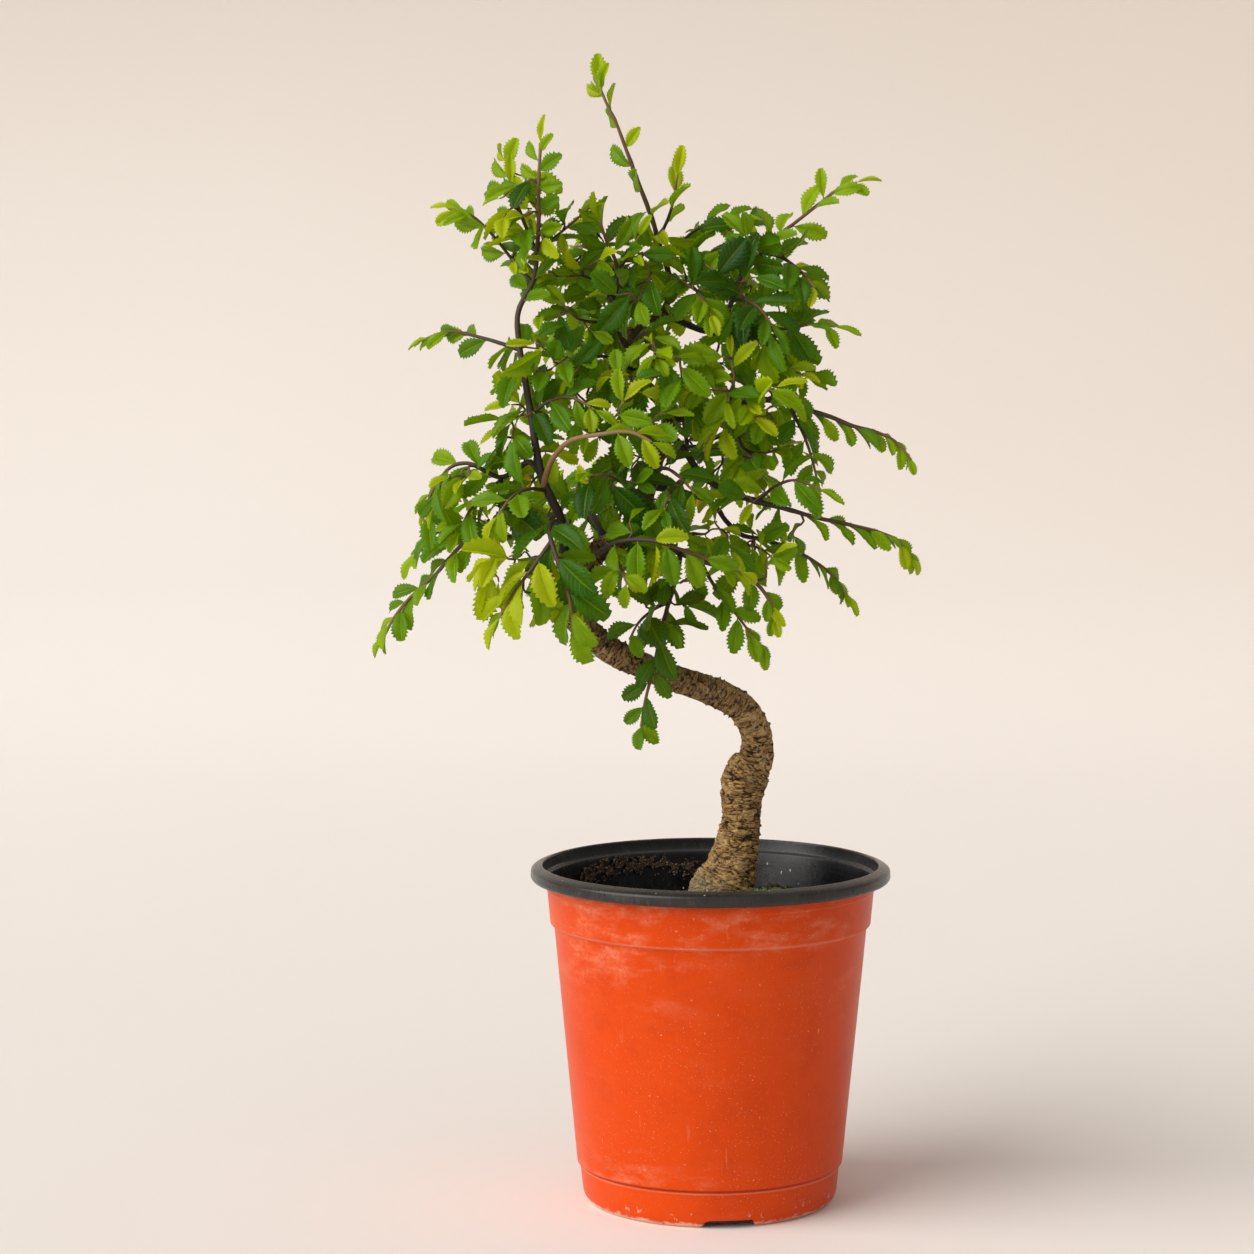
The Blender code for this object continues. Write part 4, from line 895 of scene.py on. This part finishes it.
def soil_body(shape, edge):
    """The root ball, with a rough top that is green where there is moss."""
    rings = []
    for number in range(1, SOIL_RINGS + 1):
        radius = edge * number / SOIL_RINGS
        ring = []
        for _, cos, sin in turns(SOIL_SEGMENTS):
            x, y = radius * cos, radius * sin
            ring.append(shape.point((x, y, soil_level(x, y)), (min(max(mossy(x, y), 0), 1), 0, 0)))
        rings.append(ring)
    centre = shape.point((0, 0, SOIL_TOP + SOIL_CROWN))
    for a, b in zip(rings[::-1], rings[-2::-1]):
        shape.strip(a, b)
    for i in range(SOIL_SEGMENTS):
        shape.face((rings[0][i], rings[0][(i + 1) % SOIL_SEGMENTS], centre))
    foot = [shape.point((0.8 * edge * cos, 0.8 * edge * sin, SOIL_LOW.z))
            for _, cos, sin in turns(SOIL_SEGMENTS)]
    shape.strip(foot, rings[-1])
    bottom = shape.point((0, 0, SOIL_LOW.z))
    for i in range(SOIL_SEGMENTS):
        shape.face((foot[(i + 1) % SOIL_SEGMENTS], foot[i], bottom))


def scatter_crumbs(shape, edge, rng):
    for _ in range(CRUMB_COUNT):
        radius = edge * math.sqrt(rng.uniform(0.03, 0.98))
        turn = rng.uniform(0, 2 * math.pi)
        x, y = radius * math.cos(turn), radius * math.sin(turn)
        size = rng.choice((0.5, 0.6, 0.8, 1.0, 1.0, 1.5)) * MM * rng.uniform(0.8, 1.2)
        tone = min(rng.random() ** 1.6 + (0.25 if rng.random() < 0.06 else 0), 1)
        if mossy(x, y) < 0.55:
            pebble(shape, Vector((x, y, soil_level(x, y) + 0.15 * size)), size, rng, 1, (tone, 0, 0))


def scatter_moss(shape, edge, rng):
    for _ in range(MOSS_COUNT):
        x, y = rng.uniform(2, 58) * MM, rng.uniform(6, 62) * MM
        if math.hypot(x, y) < edge * 0.97 and mossy(x, y) > rng.uniform(0.3, 0.9):
            size = rng.uniform(0.4, 0.9) * MM
            pebble(shape, Vector((x, y, soil_level(x, y) + 0.3 * size)), size, rng, 2, (rng.random(), 0, 0), 1)


def scatter_crust(shape, rng):
    """A crust of old soil on the back left of the liner, above the soil."""
    for _ in range(CRUST_COUNT):
        turn = math.radians(rng.uniform(CRUST_START, CRUST_END))
        share = (turn - math.radians(CRUST_START)) / math.radians(CRUST_END - CRUST_START)
        middle = 8.5 + 5.5 * math.sin(share * math.pi) ** 0.7
        height = middle + rng.gauss(0, 2.1)
        place = Vector((turn * 22, height * 0.5, 3))
        if noise.noise(place * 0.9) + noise.noise(place * 2.3) * 0.5 < 0.08 * abs(height - middle) - 0.12:
            continue
        z = SOIL_TOP + height * MM
        wall = WALL_TOP_RADIUS - (2.3 + 0.12 * (WALL_TOP - z) / MM) * MM
        size = rng.uniform(0.2, 0.62) * MM
        tone = 0.22 + 0.62 * rng.random() ** 1.4
        reach = wall - rng.uniform(-0.1, 0.5) * MM
        pebble(shape, Vector((reach * math.cos(turn), reach * math.sin(turn), z)), size, rng, 1, (tone, 0, 0))


def build_soil():
    rng = random.Random(5)
    shape = Shape()
    edge = SOIL_HIGH.x - 0.35 * MM
    soil_body(shape, edge)
    scatter_crumbs(shape, edge, rng)
    scatter_moss(shape, edge, rng)
    scatter_crust(shape, rng)
    soil = shape.piece("potting_mix", [soil_material(), grain_material(), moss_material()], sharp=60)
    stand_for(soil, "soil")


# ---------------------------------------------------------------- routes


def smooth_through(points, step):
    """A Catmull-Rom curve through the points, sampled about every step."""
    ends = [2 * points[0] - points[1], *points, 2 * points[-1] - points[-2]]
    samples = [points[0]]
    for a, b, c, d in zip(ends, ends[1:], ends[2:], ends[3:]):
        count = max(2, round((c - b).length / step))
        for i in range(1, count + 1):
            t = i / count
            samples.append(0.5 * (2 * b + (c - a) * t + (2 * a - 5 * b + 4 * c - d) * t * t
                                  + (3 * b - a - 3 * c + d) * t ** 3))
    return samples


def drawn(x, y, z):
    return Vector((x * MM, y * MM, SOIL_TOP + (z - DRAWN_SOIL) * MM))


class Route:
    """A smooth route that is measured along its length."""

    def __init__(self, points):
        self.samples = smooth_through(points, 1 * MM)
        self.marks = [0.0]
        for a, b in zip(self.samples, self.samples[1:]):
            self.marks.append(self.marks[-1] + (b - a).length)
        self.length = self.marks[-1]

    def at(self, distance):
        distance = min(max(distance, 0), self.length)
        for i in range(1, len(self.marks)):
            if self.marks[i] >= distance:
                share = (distance - self.marks[i - 1]) / (self.marks[i] - self.marks[i - 1])
                return self.samples[i - 1].lerp(self.samples[i], share)
        return self.samples[-1]

    def direction(self, distance):
        reach = 1 * MM
        return (self.at(distance + reach) - self.at(distance - reach)).normalized()


def turned_frames(directions, side=None):
    """Side and up vectors along a route that turn as little as they can."""
    side = side or directions[0].orthogonal().normalized()
    frames = []
    for direction in directions:
        side = (side - direction * side.dot(direction)).normalized()
        frames.append((side, direction.cross(side)))
    return frames


# ---------------------------------------------------------------- trunk


def turned_away(turn, middle):
    """The angle from the middle to the turn, between half a turn either way."""
    return (turn - middle + math.pi) % (2 * math.pi) - math.pi


def root_swell(turn, height):
    """How much the foot of the trunk swells into its surface roots in one direction."""
    share = min(max((ROOT_SWELL_TOP - height) / (ROOT_SWELL_TOP - DRAWN_SOIL), 0), 1)
    swell = 0.0
    for degrees, amount in ROOT_LOBES:
        away = turned_away(turn, math.radians(degrees))
        swell += amount * math.exp(-((away / ROOT_LOBE_WIDTH) ** 2))
    return share ** 2.8 * swell * 1.05


def bark_relief(around_x, around_y, along):
    """The height of the bark from -1 to 1: plates parted by cracks that run round the trunk."""
    place = Vector((around_x, around_y, along))
    warp = noise.noise(place * 0.16 + Vector((0, 3, 7))) * 2.2
    broken = noise.noise(place * 0.24 + Vector((9, 0, 2)))
    wide = noise.noise(Vector((around_x * 0.12, around_y * 0.12, (along + warp) * 0.36)))
    thin = noise.noise(Vector((around_x * 0.2 + 5, around_y * 0.2, (along + warp * 0.4) * 0.6)))
    crack = max(0, 1 - abs(wide) / 0.12) * max(0, min(1, broken * 3 + 0.85))
    second = max(0, 1 - abs(thin) / 0.12) * max(0, min(1, 0.6 - broken * 2.5))
    plate = 0.45 + wide * 0.8 + noise.noise(place * 0.7) * 0.35
    return max(-1, min(1, plate - 1.6 * max(crack, second)))


def trunk_hull(shape, rings):
    """A coarse copy of the trunk's skin, which leaves keep out of."""
    corners = TRUNK_SIDES // HULL_SIDES
    points = []
    faces = []
    for number, ring in enumerate(rings[::HULL_RINGS]):
        points += [shape.points[i] for i in ring[::HULL_SIDES]]
        if number:
            faces += tube_faces((number - 1) * corners, corners)
    return points, faces


def lichen_cover(turn, cos, sin, height, travelled):
    """How much grey lichen there is at the front left of the trunk's foot, from 0 to 1."""
    if height >= LICHEN_TOP:
        return 0.0
    ragged = noise.noise(Vector((cos, sin, travelled * 0.05)) * 3)
    fade = max(0, min(1, (LICHEN_TOP - height) / 9))
    return fade * max(0, min(1, 1.6 - abs(turned_away(turn, LICHEN_TURN)) * 1.5 + ragged))


def build_trunk():
    rng = random.Random(11)
    samples = smooth_through([Vector((*drawn(x, y, z), r * MM)) for x, y, z, r in (*TRUNK_FOOT, *TRUNK_ROUTE)],
                             TRUNK_STEP)
    centres = [sample.to_3d() for sample in samples]
    radii = [sample[3] for sample in samples]
    directions = [(b - a).normalized() for a, b in zip(centres[:1] + centres[:-1], centres[1:] + centres[-1:])]
    directions[0] = directions[1]
    frames = turned_frames(directions, Vector((1, 0, 0)))
    nubs = [(rng.uniform(0.04, 0.66), rng.uniform(0, 2 * math.pi), rng.uniform(0.4, 1.0))
            for _ in range(NUB_COUNT)]
    count = len(centres)
    shape = Shape()
    rings = []
    travelled = 0.0
    for number, (centre, radius, (side, up)) in enumerate(zip(centres, radii, frames)):
        if number:
            travelled += (centre - centres[number - 1]).length / MM
        share = number / count
        around = radius / MM
        height = DRAWN_SOIL + (centre.z - SOIL_TOP) / MM
        near = [(turn, size, (share - place) * count * 0.5) for place, turn, size in nubs
                if abs(share - place) * count * 0.5 < 3]
        depth = (0.62 * MM if height < DEEP_BARK_TOP else 0.42 * MM) * min(1, radius / (6 * MM))
        age = min(1, max(0, (height - OLD_BARK_TOP) / BARK_AGE_RISE + noise.noise(centre / MM * 0.05) * 0.2))
        ring = []
        for turn, cos, sin in turns(TRUNK_SIDES):
            relief = bark_relief(cos * around, sin * around, travelled)
            lump = noise.noise(Vector((cos, sin, travelled * 0.06)) * 1.4) * 0.06
            nub = 0.0
            for at, size, along in near:
                away = turned_away(turn, at) * around
                nub += size * math.exp(-(away * away + along * along) / 0.4)
            reach = radius * (1 + root_swell(turn, height) + lump) + relief * depth + nub * NUB_HEIGHT
            lichen = lichen_cover(turn, cos, sin, height, travelled) * 0.85
            ring.append(shape.point(centre + (side * cos + up * sin) * reach,
                                    (0.5 + 0.5 * relief - 0.5 * nub, age, lichen),
                                    wrap=(cos * around, sin * around, travelled)))
        rings.append(ring)
    for a, b in zip(rings, rings[1:]):
        shape.strip(a, b)
    foot = shape.point(centres[0], wrap=(0, 0, -1))
    top = shape.point(centres[-1] + directions[-1] * radii[-1] * 0.5, (0.5, 1, 0), wrap=(0, 0, travelled + 1))
    shape.caps(foot, top, rings[0], rings[-1])
    trunk = shape.piece("wrinkled_trunk", [bark_material()])
    stand_for(trunk, "trunk")
    return trunk_hull(shape, rings)


# ---------------------------------------------------------------- leaves


class Blade:
    """Where a leaf lies: its foot, the way it points, the way it faces, and its size."""

    def __init__(self, foot, direction, normal, length, width):
        self.foot = foot
        self.direction = direction
        self.normal = (normal - direction * normal.dot(direction)).normalized()
        self.across = self.normal.cross(direction)
        self.length = length
        self.width = width

    def hull(self, room):
        """A coarse copy of the leaf, folded and arched, for finding out whether there is room for it."""
        points = [self.foot + self.direction * 0.5 * MM]
        for share, wide in ((0.3, 0.44), (0.6, 0.47), (0.85, 0.3)):
            sunk = 0.16 * share ** 2 * self.length
            spine = self.foot + self.direction * (share * self.length) - self.normal * sunk
            out = self.across * (wide * self.width * 0.92 + room)
            lift = self.normal * (wide * self.width * 0.4)
            points += [spine + (out + lift), spine - self.normal * room, spine + (-out + lift)]
        points.append(self.foot + self.direction * (self.length + room) - self.normal * (0.16 * self.length))
        faces = [(0, 1, 2), (0, 2, 3), (10, 8, 7), (10, 9, 8)]
        for low in (1, 4):
            faces += [(low, low + 3, low + 4, low + 1), (low + 1, low + 4, low + 5, low + 2)]
        return points, faces


LEAF_ROWS = 18
LEAF_COLUMNS = (-1, -0.86, -0.5, -0.09, 0, 0.09, 0.5, 0.86, 1)
TOOTH_DEPTH = 0.40


def add_leaf(shape, blade, youth, yellow, rng):
    """A toothed leaf, folded along its midrib, arched along its length and a little wavy at its edge."""
    fold = math.radians(rng.uniform(6, 24) + 18 * youth)
    arch = rng.uniform(0.06, 0.26)
    twist = rng.uniform(-0.25, 0.25)
    ripple = rng.uniform(0.015, 0.045)
    phase = rng.uniform(0, 6.28)
    own = rng.random()
    fullness = rng.uniform(1.02, 1.28)
    bluntness = rng.uniform(0.45, 0.64)
    widest = 0.5 ** (1 / fullness)
    rows = []
    for row in range(LEAF_ROWS + 1):
        v = row / LEAF_ROWS
        wave = math.sin(math.pi * min(1, v ** fullness * 0.985 + 0.008))
        profile = wave ** (0.72 if v < widest else bluntness)
        toothed = row > 2 and row < LEAF_ROWS
        tooth = TOOTH_DEPTH * (0.32 if row % 2 else -0.5) * min(1, profile * 1.3) if toothed else 0
        ring = []
        for u in LEAF_COLUMNS:
            out = abs(u)
            half = blade.width / 2 * max(profile + (tooth if out == 1 else 0), 0.03)
            forward = v + (0.034 * out ** 6 if row % 2 and toothed else 0)
            x = u * half * math.cos(fold)
            lift = out * half * math.sin(fold)
            lift += blade.length * ripple * math.sin(phase + v * 9 + (2 if u > 0 else 0)) * out ** 2 * profile
            lift -= arch * blade.length * v * v
            bulge = 0.2 * half * (1 - (2 * out - 1) ** 2)
            z = lift + bulge
            lean = twist * v
            side = x * math.cos(lean) - z * math.sin(lean) * 0.4
            y = forward * blade.length * (1 - 0.12 * arch * v)
            co = blade.foot + blade.across * side + blade.direction * y + blade.normal * z
            ring.append(shape.point(co, (youth, own, yellow), (u, v)))
        rows.append(ring)
    for low, high in zip(rows, rows[1:]):
        shape.strip(low, high, 1, closed=False)


def add_stalk(shape, start, end, youth):
    """The short stalk between a twig and a leaf."""
    along = (end - start).normalized()
    side = along.orthogonal().normalized()
    up = along.cross(side)
    rings = []
    for place, radius in ((start, 0.36 * MM), (end + along * 0.4 * MM, 0.24 * MM)):
        rings.append([shape.point(place + (side * math.cos(t) + up * math.sin(t)) * radius,
                                  (0.72 + 0.28 * youth, 0.2, 0)) for t in (math.tau * i / 5 for i in range(5))])
    shape.strip(rings[0], rings[1], 0)


class Crowd:
    """Coarse hulls of all that is placed so far, to find room for the next leaf. Some leaves still touch."""

    def __init__(self):
        self.settled = ([], [])
        self.fresh = ([], [])
        self.tree = None

    def add(self, points, faces):
        base = len(self.fresh[0])
        self.fresh[0].extend(points)
        self.fresh[1].extend(tuple(i + base for i in face) for face in faces)
        if len(self.fresh[1]) > 400:
            self.settle()

    def settle(self):
        base = len(self.settled[0])
        self.settled[0].extend(self.fresh[0])
        self.settled[1].extend(tuple(i + base for i in face) for face in self.fresh[1])
        self.fresh = ([], [])
        self.tree = BVHTree.FromPolygons(*self.settled)

    def free(self, points, faces):
        tried = BVHTree.FromPolygons(points, faces)
        if self.tree is not None and tried.overlap(self.tree):
            return False
        if self.fresh[1] and tried.overlap(BVHTree.FromPolygons(*self.fresh)):
            return False
        return True


def wanted_normal(place, rng):
    """Leaves face up, outwards from the trunk and towards the window."""
    outwards = place - drawn(*TREE_AXIS, DRAWN_SOIL)
    outwards.z = 0
    outwards.normalize()
    scatter = Vector((rng.uniform(-1, 1), rng.uniform(-1, 1), rng.uniform(-1, 1)))
    return (Vector((0, 0, 0.55)) + outwards * 0.4 + LIGHT * 0.5 + scatter * 0.42).normalized()


def leaf_choices(place, along, number, spread, droop, rng):
    """Directions and normals for one leaf, the best first. Leaves alternate from side to side."""
    facing = wanted_normal(place, rng)
    if abs(facing.dot(along)) > 0.8:
        base_turn = number * WHORL_TURN
    else:
        base_turn = 0 if number % 2 else math.pi
    spread += math.radians(rng.gauss(0, 10))
    up = (facing - along * facing.dot(along)).normalized()
    side = along.cross(up)
    for lean in (0, 12, -12, 25, -25, 40):
        for turn in (0, 20, -20, 40, -40, 65, -65, 90, -90, 130, -130, 180):
            angle = base_turn + math.radians(turn)
            away = side * math.cos(angle) + up * math.sin(angle)
            slope = max(0.15, spread + math.radians(lean))
            direction = along * math.cos(slope) + away * math.sin(slope) - Vector((0, 0, droop))
            yield direction.normalized(), up


def inside(point):
    """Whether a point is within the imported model's box, give or take what a leaf may stand proud."""
    return all(low - LEAF_ROOM <= value <= high + LEAF_ROOM
               for value, low, high in zip(point, cad_box[0], cad_box[1]))


def place_leaf(shape, centre, radius, along, number, size, spread, look, crowd, rng):
    """Finds room for one leaf, smaller where it is crowded. A place with no room at all stays bare."""
    youth, droop, yellow = look
    slim = rng.uniform(0.88, 1.12)
    for shrink in (1, 0.86, 0.7):
        length = LEAF_LENGTH * size * shrink
        width = LEAF_WIDTH * size * shrink * slim
        for direction, normal in leaf_choices(centre, along, number, spread, droop, rng):
            foot = centre + direction * (radius + 1.0 * MM * size)
            blade = Blade(foot, direction, normal, length, width)
            hull = blade.hull(LEAF_CLEARANCE)
            if inside(hull[0][-1]) and crowd.free(*hull):
                add_leaf(shape, blade, youth, yellow, rng)
                add_stalk(shape, centre + direction * radius * 0.5, foot, youth)
                crowd.add(*blade.hull(0))
                return


# ---------------------------------------------------------------- branches and shoots


def add_tube(shape, route, radius_at, age_at, own, seed, sides=9):
    """A twig along a route, rough and a little knotty. Returns its ring centres and radii."""
    count = max(3, math.ceil(route.length / TWIG_STEP))
    marks = [route.length * i / count for i in range(count + 1)]
    frames = turned_frames([route.direction(mark) for mark in marks])
    rings = []
    axis = []
    for mark, (side, up) in zip(marks, frames):
        centre = route.at(mark)
        radius = radius_at(mark)
        ring = []
        for _, cos, sin in turns(sides):
            out = side * cos + up * sin
            rough = noise.noise(Vector((cos, sin, mark / MM * 0.35 + seed)) * 1.6)
            knot = max(0, noise.noise(Vector((mark / MM * 0.16, seed, 4)))) ** 2 * 0.6
            reach = radius * (1 + 0.16 * rough + knot)
            ring.append(shape.point(centre + out * reach, (age_at(mark), own, 0)))
        rings.append(ring)
        axis.append((centre, radius))
    for a, b in zip(rings, rings[1:]):
        shape.strip(a, b)
    tip = shape.point(route.at(route.length) + route.direction(route.length) * radius_at(route.length),
                      (1, own, 0))
    for i in range(sides):
        shape.face((tip, rings[-1][i], rings[-1][(i + 1) % sides]))
    return axis


def add_twig_hull(crowd, axis):
    """A square tube round the twig, which leaves keep out of."""
    points = []
    faces = []
    for number, (centre, radius) in enumerate(axis[::2]):
        before, after = axis[max(0, 2 * number - 1)][0], axis[min(len(axis) - 1, 2 * number + 1)][0]
        along = (after - before).normalized()
        side = along.orthogonal().normalized()
        up = along.cross(side)
        points += [centre + offset * radius for offset in (side, up, -side, -up)]
        if number:
            faces += tube_faces(4 * number - 4, 4)
    if faces:
        crowd.add(points, faces)


class Twig:
    """A leafy length of wood: its route, its radius, and where its leaves begin."""

    def __init__(self, route, radius_at, start, look):
        self.route = route
        self.radius_at = radius_at
        self.start = start
        self.look = look

    def leaf_out(self, shape, crowd, rng):
        """Leaves from the start to the tip, closer and younger towards it, and one at the very tip."""
        youth, size, droop, stand, gap = self.look
        length = self.route.length
        mark = self.start
        number = rng.randrange(2)
        while mark < length - 0.8 * MM:
            share = (mark - self.start) / max(length - self.start, 1 * MM)
            young = min(1, youth + (1 - youth) * 0.7 * share ** 2.4 + rng.gauss(0, 0.09))
            large = size * rng.uniform(0.86, 1.16) * (1 - 0.36 * share ** 2)
            yellow = 0.9 if rng.random() < 0.004 else 0
            spread = math.radians(stand - 22 * share ** 2)
            place_leaf(shape, self.route.at(mark), self.radius_at(mark), self.route.direction(mark), number,
                       large, spread, (young, droop, yellow), crowd, rng)
            mark += LEAF_SPACING * gap * rng.uniform(0.75, 1.25) * (1 - 0.5 * share) * (0.4 + 0.6 * size)
            number += 1
        if gap > 1.5:
            for back in range(5):
                place_leaf(shape, self.route.at(length - (1 + back) * MM), self.radius_at(length),
                           self.route.direction(length), back, size * rng.uniform(0.75, 0.95),
                           math.radians(24 + 6 * back), (0.85, droop, 0), crowd, rng)
        along = (self.route.direction(length) - Vector((0, 0, droop * 0.5))).normalized()
        tip = self.route.at(length)
        blade = Blade(tip + along * 0.5 * MM, along, wanted_normal(tip, rng),
                      LEAF_LENGTH * size * rng.uniform(0.55, 0.85), LEAF_WIDTH * size * rng.uniform(0.45, 0.75))
        hull = blade.hull(TIP_CLEARANCE)
        if inside(hull[0][-1]) and crowd.free(*hull):
            add_leaf(shape, blade, min(1, youth + 0.4), 0, rng)
            crowd.add(*blade.hull(0))


class Piece:
    """One branch or shoot, with the side twigs that spring from it."""

    def __init__(self, name, foot, tip, bare, points, old_wood, seed):
        self.name = name
        self.shape = Shape()
        self.rng = random.Random(seed)
        self.look = LOOKS.get(name, PLAIN_LOOKS)
        self.own = 0.9 if name == "arching_branch" else self.rng.uniform(0.25, 0.6)
        route = Route([drawn(*point) for point in points])
        length = route.length
        foot *= MM
        tip *= MM
        start = 0.6 * min(old_wood * MM, length)

        def radius_at(mark):
            return foot + (tip - foot) * (mark / length) ** 0.7

        def age_at(mark):
            return min(1, max(0, (mark - start) / (length - start))) ** 1.5 * 0.95

        self.axis = add_tube(self.shape, route, radius_at, age_at, self.own, seed * 7.3)
        self.twigs = [Twig(route, radius_at, bare * MM, self.look)]

    def add_sprig(self, start, along, goal, number):
        """A thin side twig that leaves this piece slantwise and bends to its goal."""
        rng = self.rng
        reach = goal - start
        leave = (reach.normalized() * 0.8 + along * 0.6).normalized()
        sag = Vector((0, 0, -rng.uniform(0.0, 0.12))) * reach.length
        bend = Vector([rng.uniform(-0.08, 0.08) for _ in range(3)]) * reach.length
        points = [start, start + leave * reach.length * 0.36, start + reach * 0.7 + bend, goal + sag]
        route = Route(points)
        foot = 0.42 * MM + 0.014 * reach.length
        length = route.length

        def radius_at(mark):
            return foot + (0.34 * MM - foot) * mark / length

        axis = add_tube(self.shape, route, radius_at, lambda mark: 0.3 + 0.6 * mark / length, self.own * 0.7,
                        number * 3.1, sides=6)
        youth, size, droop, _, _ = self.look
        look = (min(1, max(0, youth + rng.gauss(0, 0.15))), size * rng.uniform(0.9, 1.1), droop, 56, 1.0)
        self.twigs.append(Twig(route, radius_at, min(7 * MM, length * 0.35), look))
        return axis


def fill_clumps(pieces, crowd):
    """Grows side twigs from the nearest wood into each clump. A goal that is beside wood is passed over."""
    rng = random.Random(31)
    wood = [(centre, after - before, piece) for piece in pieces
            for before, (centre, _), after in zip([piece.axis[0][0]] + [spot for spot, _ in piece.axis],
                                                  piece.axis, [spot for spot, _ in piece.axis[1:]])]
    number = 0
    for middle, reach, count in CLUMPS:
        grown = 0
        for _ in range(count * 30):
            if grown == count:
                break
            away = Vector([rng.uniform(-1, 1) for _ in range(3)])
            if away.length > 1:
                continue
            goal = drawn(*(m + r * a for m, r, a in zip(middle, reach, away)))
            near = min(wood, key=lambda spot: (spot[0] - goal).length_squared)
            gap = (near[0] - goal).length
            if gap < NEAREST_GOAL:
                continue
            if gap > FARTHEST_GOAL:
                goal = near[0] + (goal - near[0]) * (FARTHEST_GOAL / gap)
            start, along, piece = near
            axis = piece.add_sprig(start, along.normalized(), goal, number)
            add_twig_hull(crowd, axis)
            wood += [(spot, along, piece) for spot, _ in axis[2:]]
            number += 1
            grown += 1


def build_crown(trunk_points, trunk_faces):
    twig = twig_material()
    leaf = leaf_material()
    pieces = [Piece(name, foot, tip, bare, points, bare, 100 + number)
              for number, (name, foot, tip, bare, points) in enumerate(BRANCHES)]
    pieces += [Piece(name, foot, SHOOT_TIP, bare, points, 0, 200 + number)
               for number, (name, foot, bare, points) in enumerate(SHOOTS)]
    crowd = Crowd()
    crowd.add(trunk_points, trunk_faces)
    for piece in pieces:
        add_twig_hull(crowd, piece.axis)
    fill_clumps(pieces, crowd)
    crowd.settle()
    for piece in pieces:
        for part in piece.twigs:
            part.leaf_out(piece.shape, crowd, piece.rng)
        obj = piece.shape.piece("leafy_" + piece.name, [twig, leaf])
        stand_for(obj, piece.name)


# ---------------------------------------------------------------- studio


def build_studio():
    """A pale floor that curves up into a wall behind, a soft key light from the left, and a camera."""
    line = [Vector((y, 0.0)) for y in (-4.0, -2.0, -1.0, 0.0, 1.0)]
    line += [Vector((1.4 + COVE_RADIUS * math.sin(t), COVE_RADIUS - COVE_RADIUS * math.cos(t)))
             for t in (math.pi / 48 * i for i in range(24))]
    line += [Vector((3.0, z)) for z in (1.6, 3.0, 4.5)]
    shape = Shape()
    rows = [[shape.point((x, y, z)) for x in (-4.5, -2.0, -0.7, 0.0, 0.7, 2.0, 4.5)] for y, z in line]
    for a, b in zip(rows, rows[1:]):
        shape.strip(a, b, closed=False)
    floor = shape.piece("studio_floor", [studio_material()])

    for name, power, spread, towards in (("window_key", 3.05, 58, (-0.74, -0.42, 0.54)),
                                         ("room_fill", 0.40, 100, (-0.15, -0.8, 0.6))):
        light = bpy.data.lights.new(name, "SUN")
        light.energy = power
        light.angle = math.radians(spread)
        light.color = (1.0, 0.965, 0.92)
        lamp = bpy.data.objects.new(name, light)
        lamp.rotation_euler = Vector(towards).to_track_quat("Z", "Y").to_euler()
        bpy.context.scene.collection.objects.link(lamp)

    world = bpy.data.worlds.new("studio_sky")
    world.use_nodes = True
    background = world.node_tree.nodes["Background"]
    background.inputs["Color"].default_value = (1.0, 0.95, 0.90, 1)
    background.inputs["Strength"].default_value = 0.32
    bpy.context.scene.world = world

    camera = bpy.data.cameras.new("camera")
    camera.sensor_width = 36
    camera.lens = CAMERA_LENS
    camera.clip_start = 0.05
    eye = bpy.data.objects.new("camera", camera)
    eye.location = CAMERA_PLACE
    eye.rotation_euler = (math.radians(90 - CAMERA_DIP), 0, 0)
    bpy.context.scene.collection.objects.link(eye)
    bpy.context.scene.camera = eye
    bpy.context.scene.view_settings.view_transform = "Standard"


build_pot()
build_soil()
build_crown(*build_trunk())
build_studio()
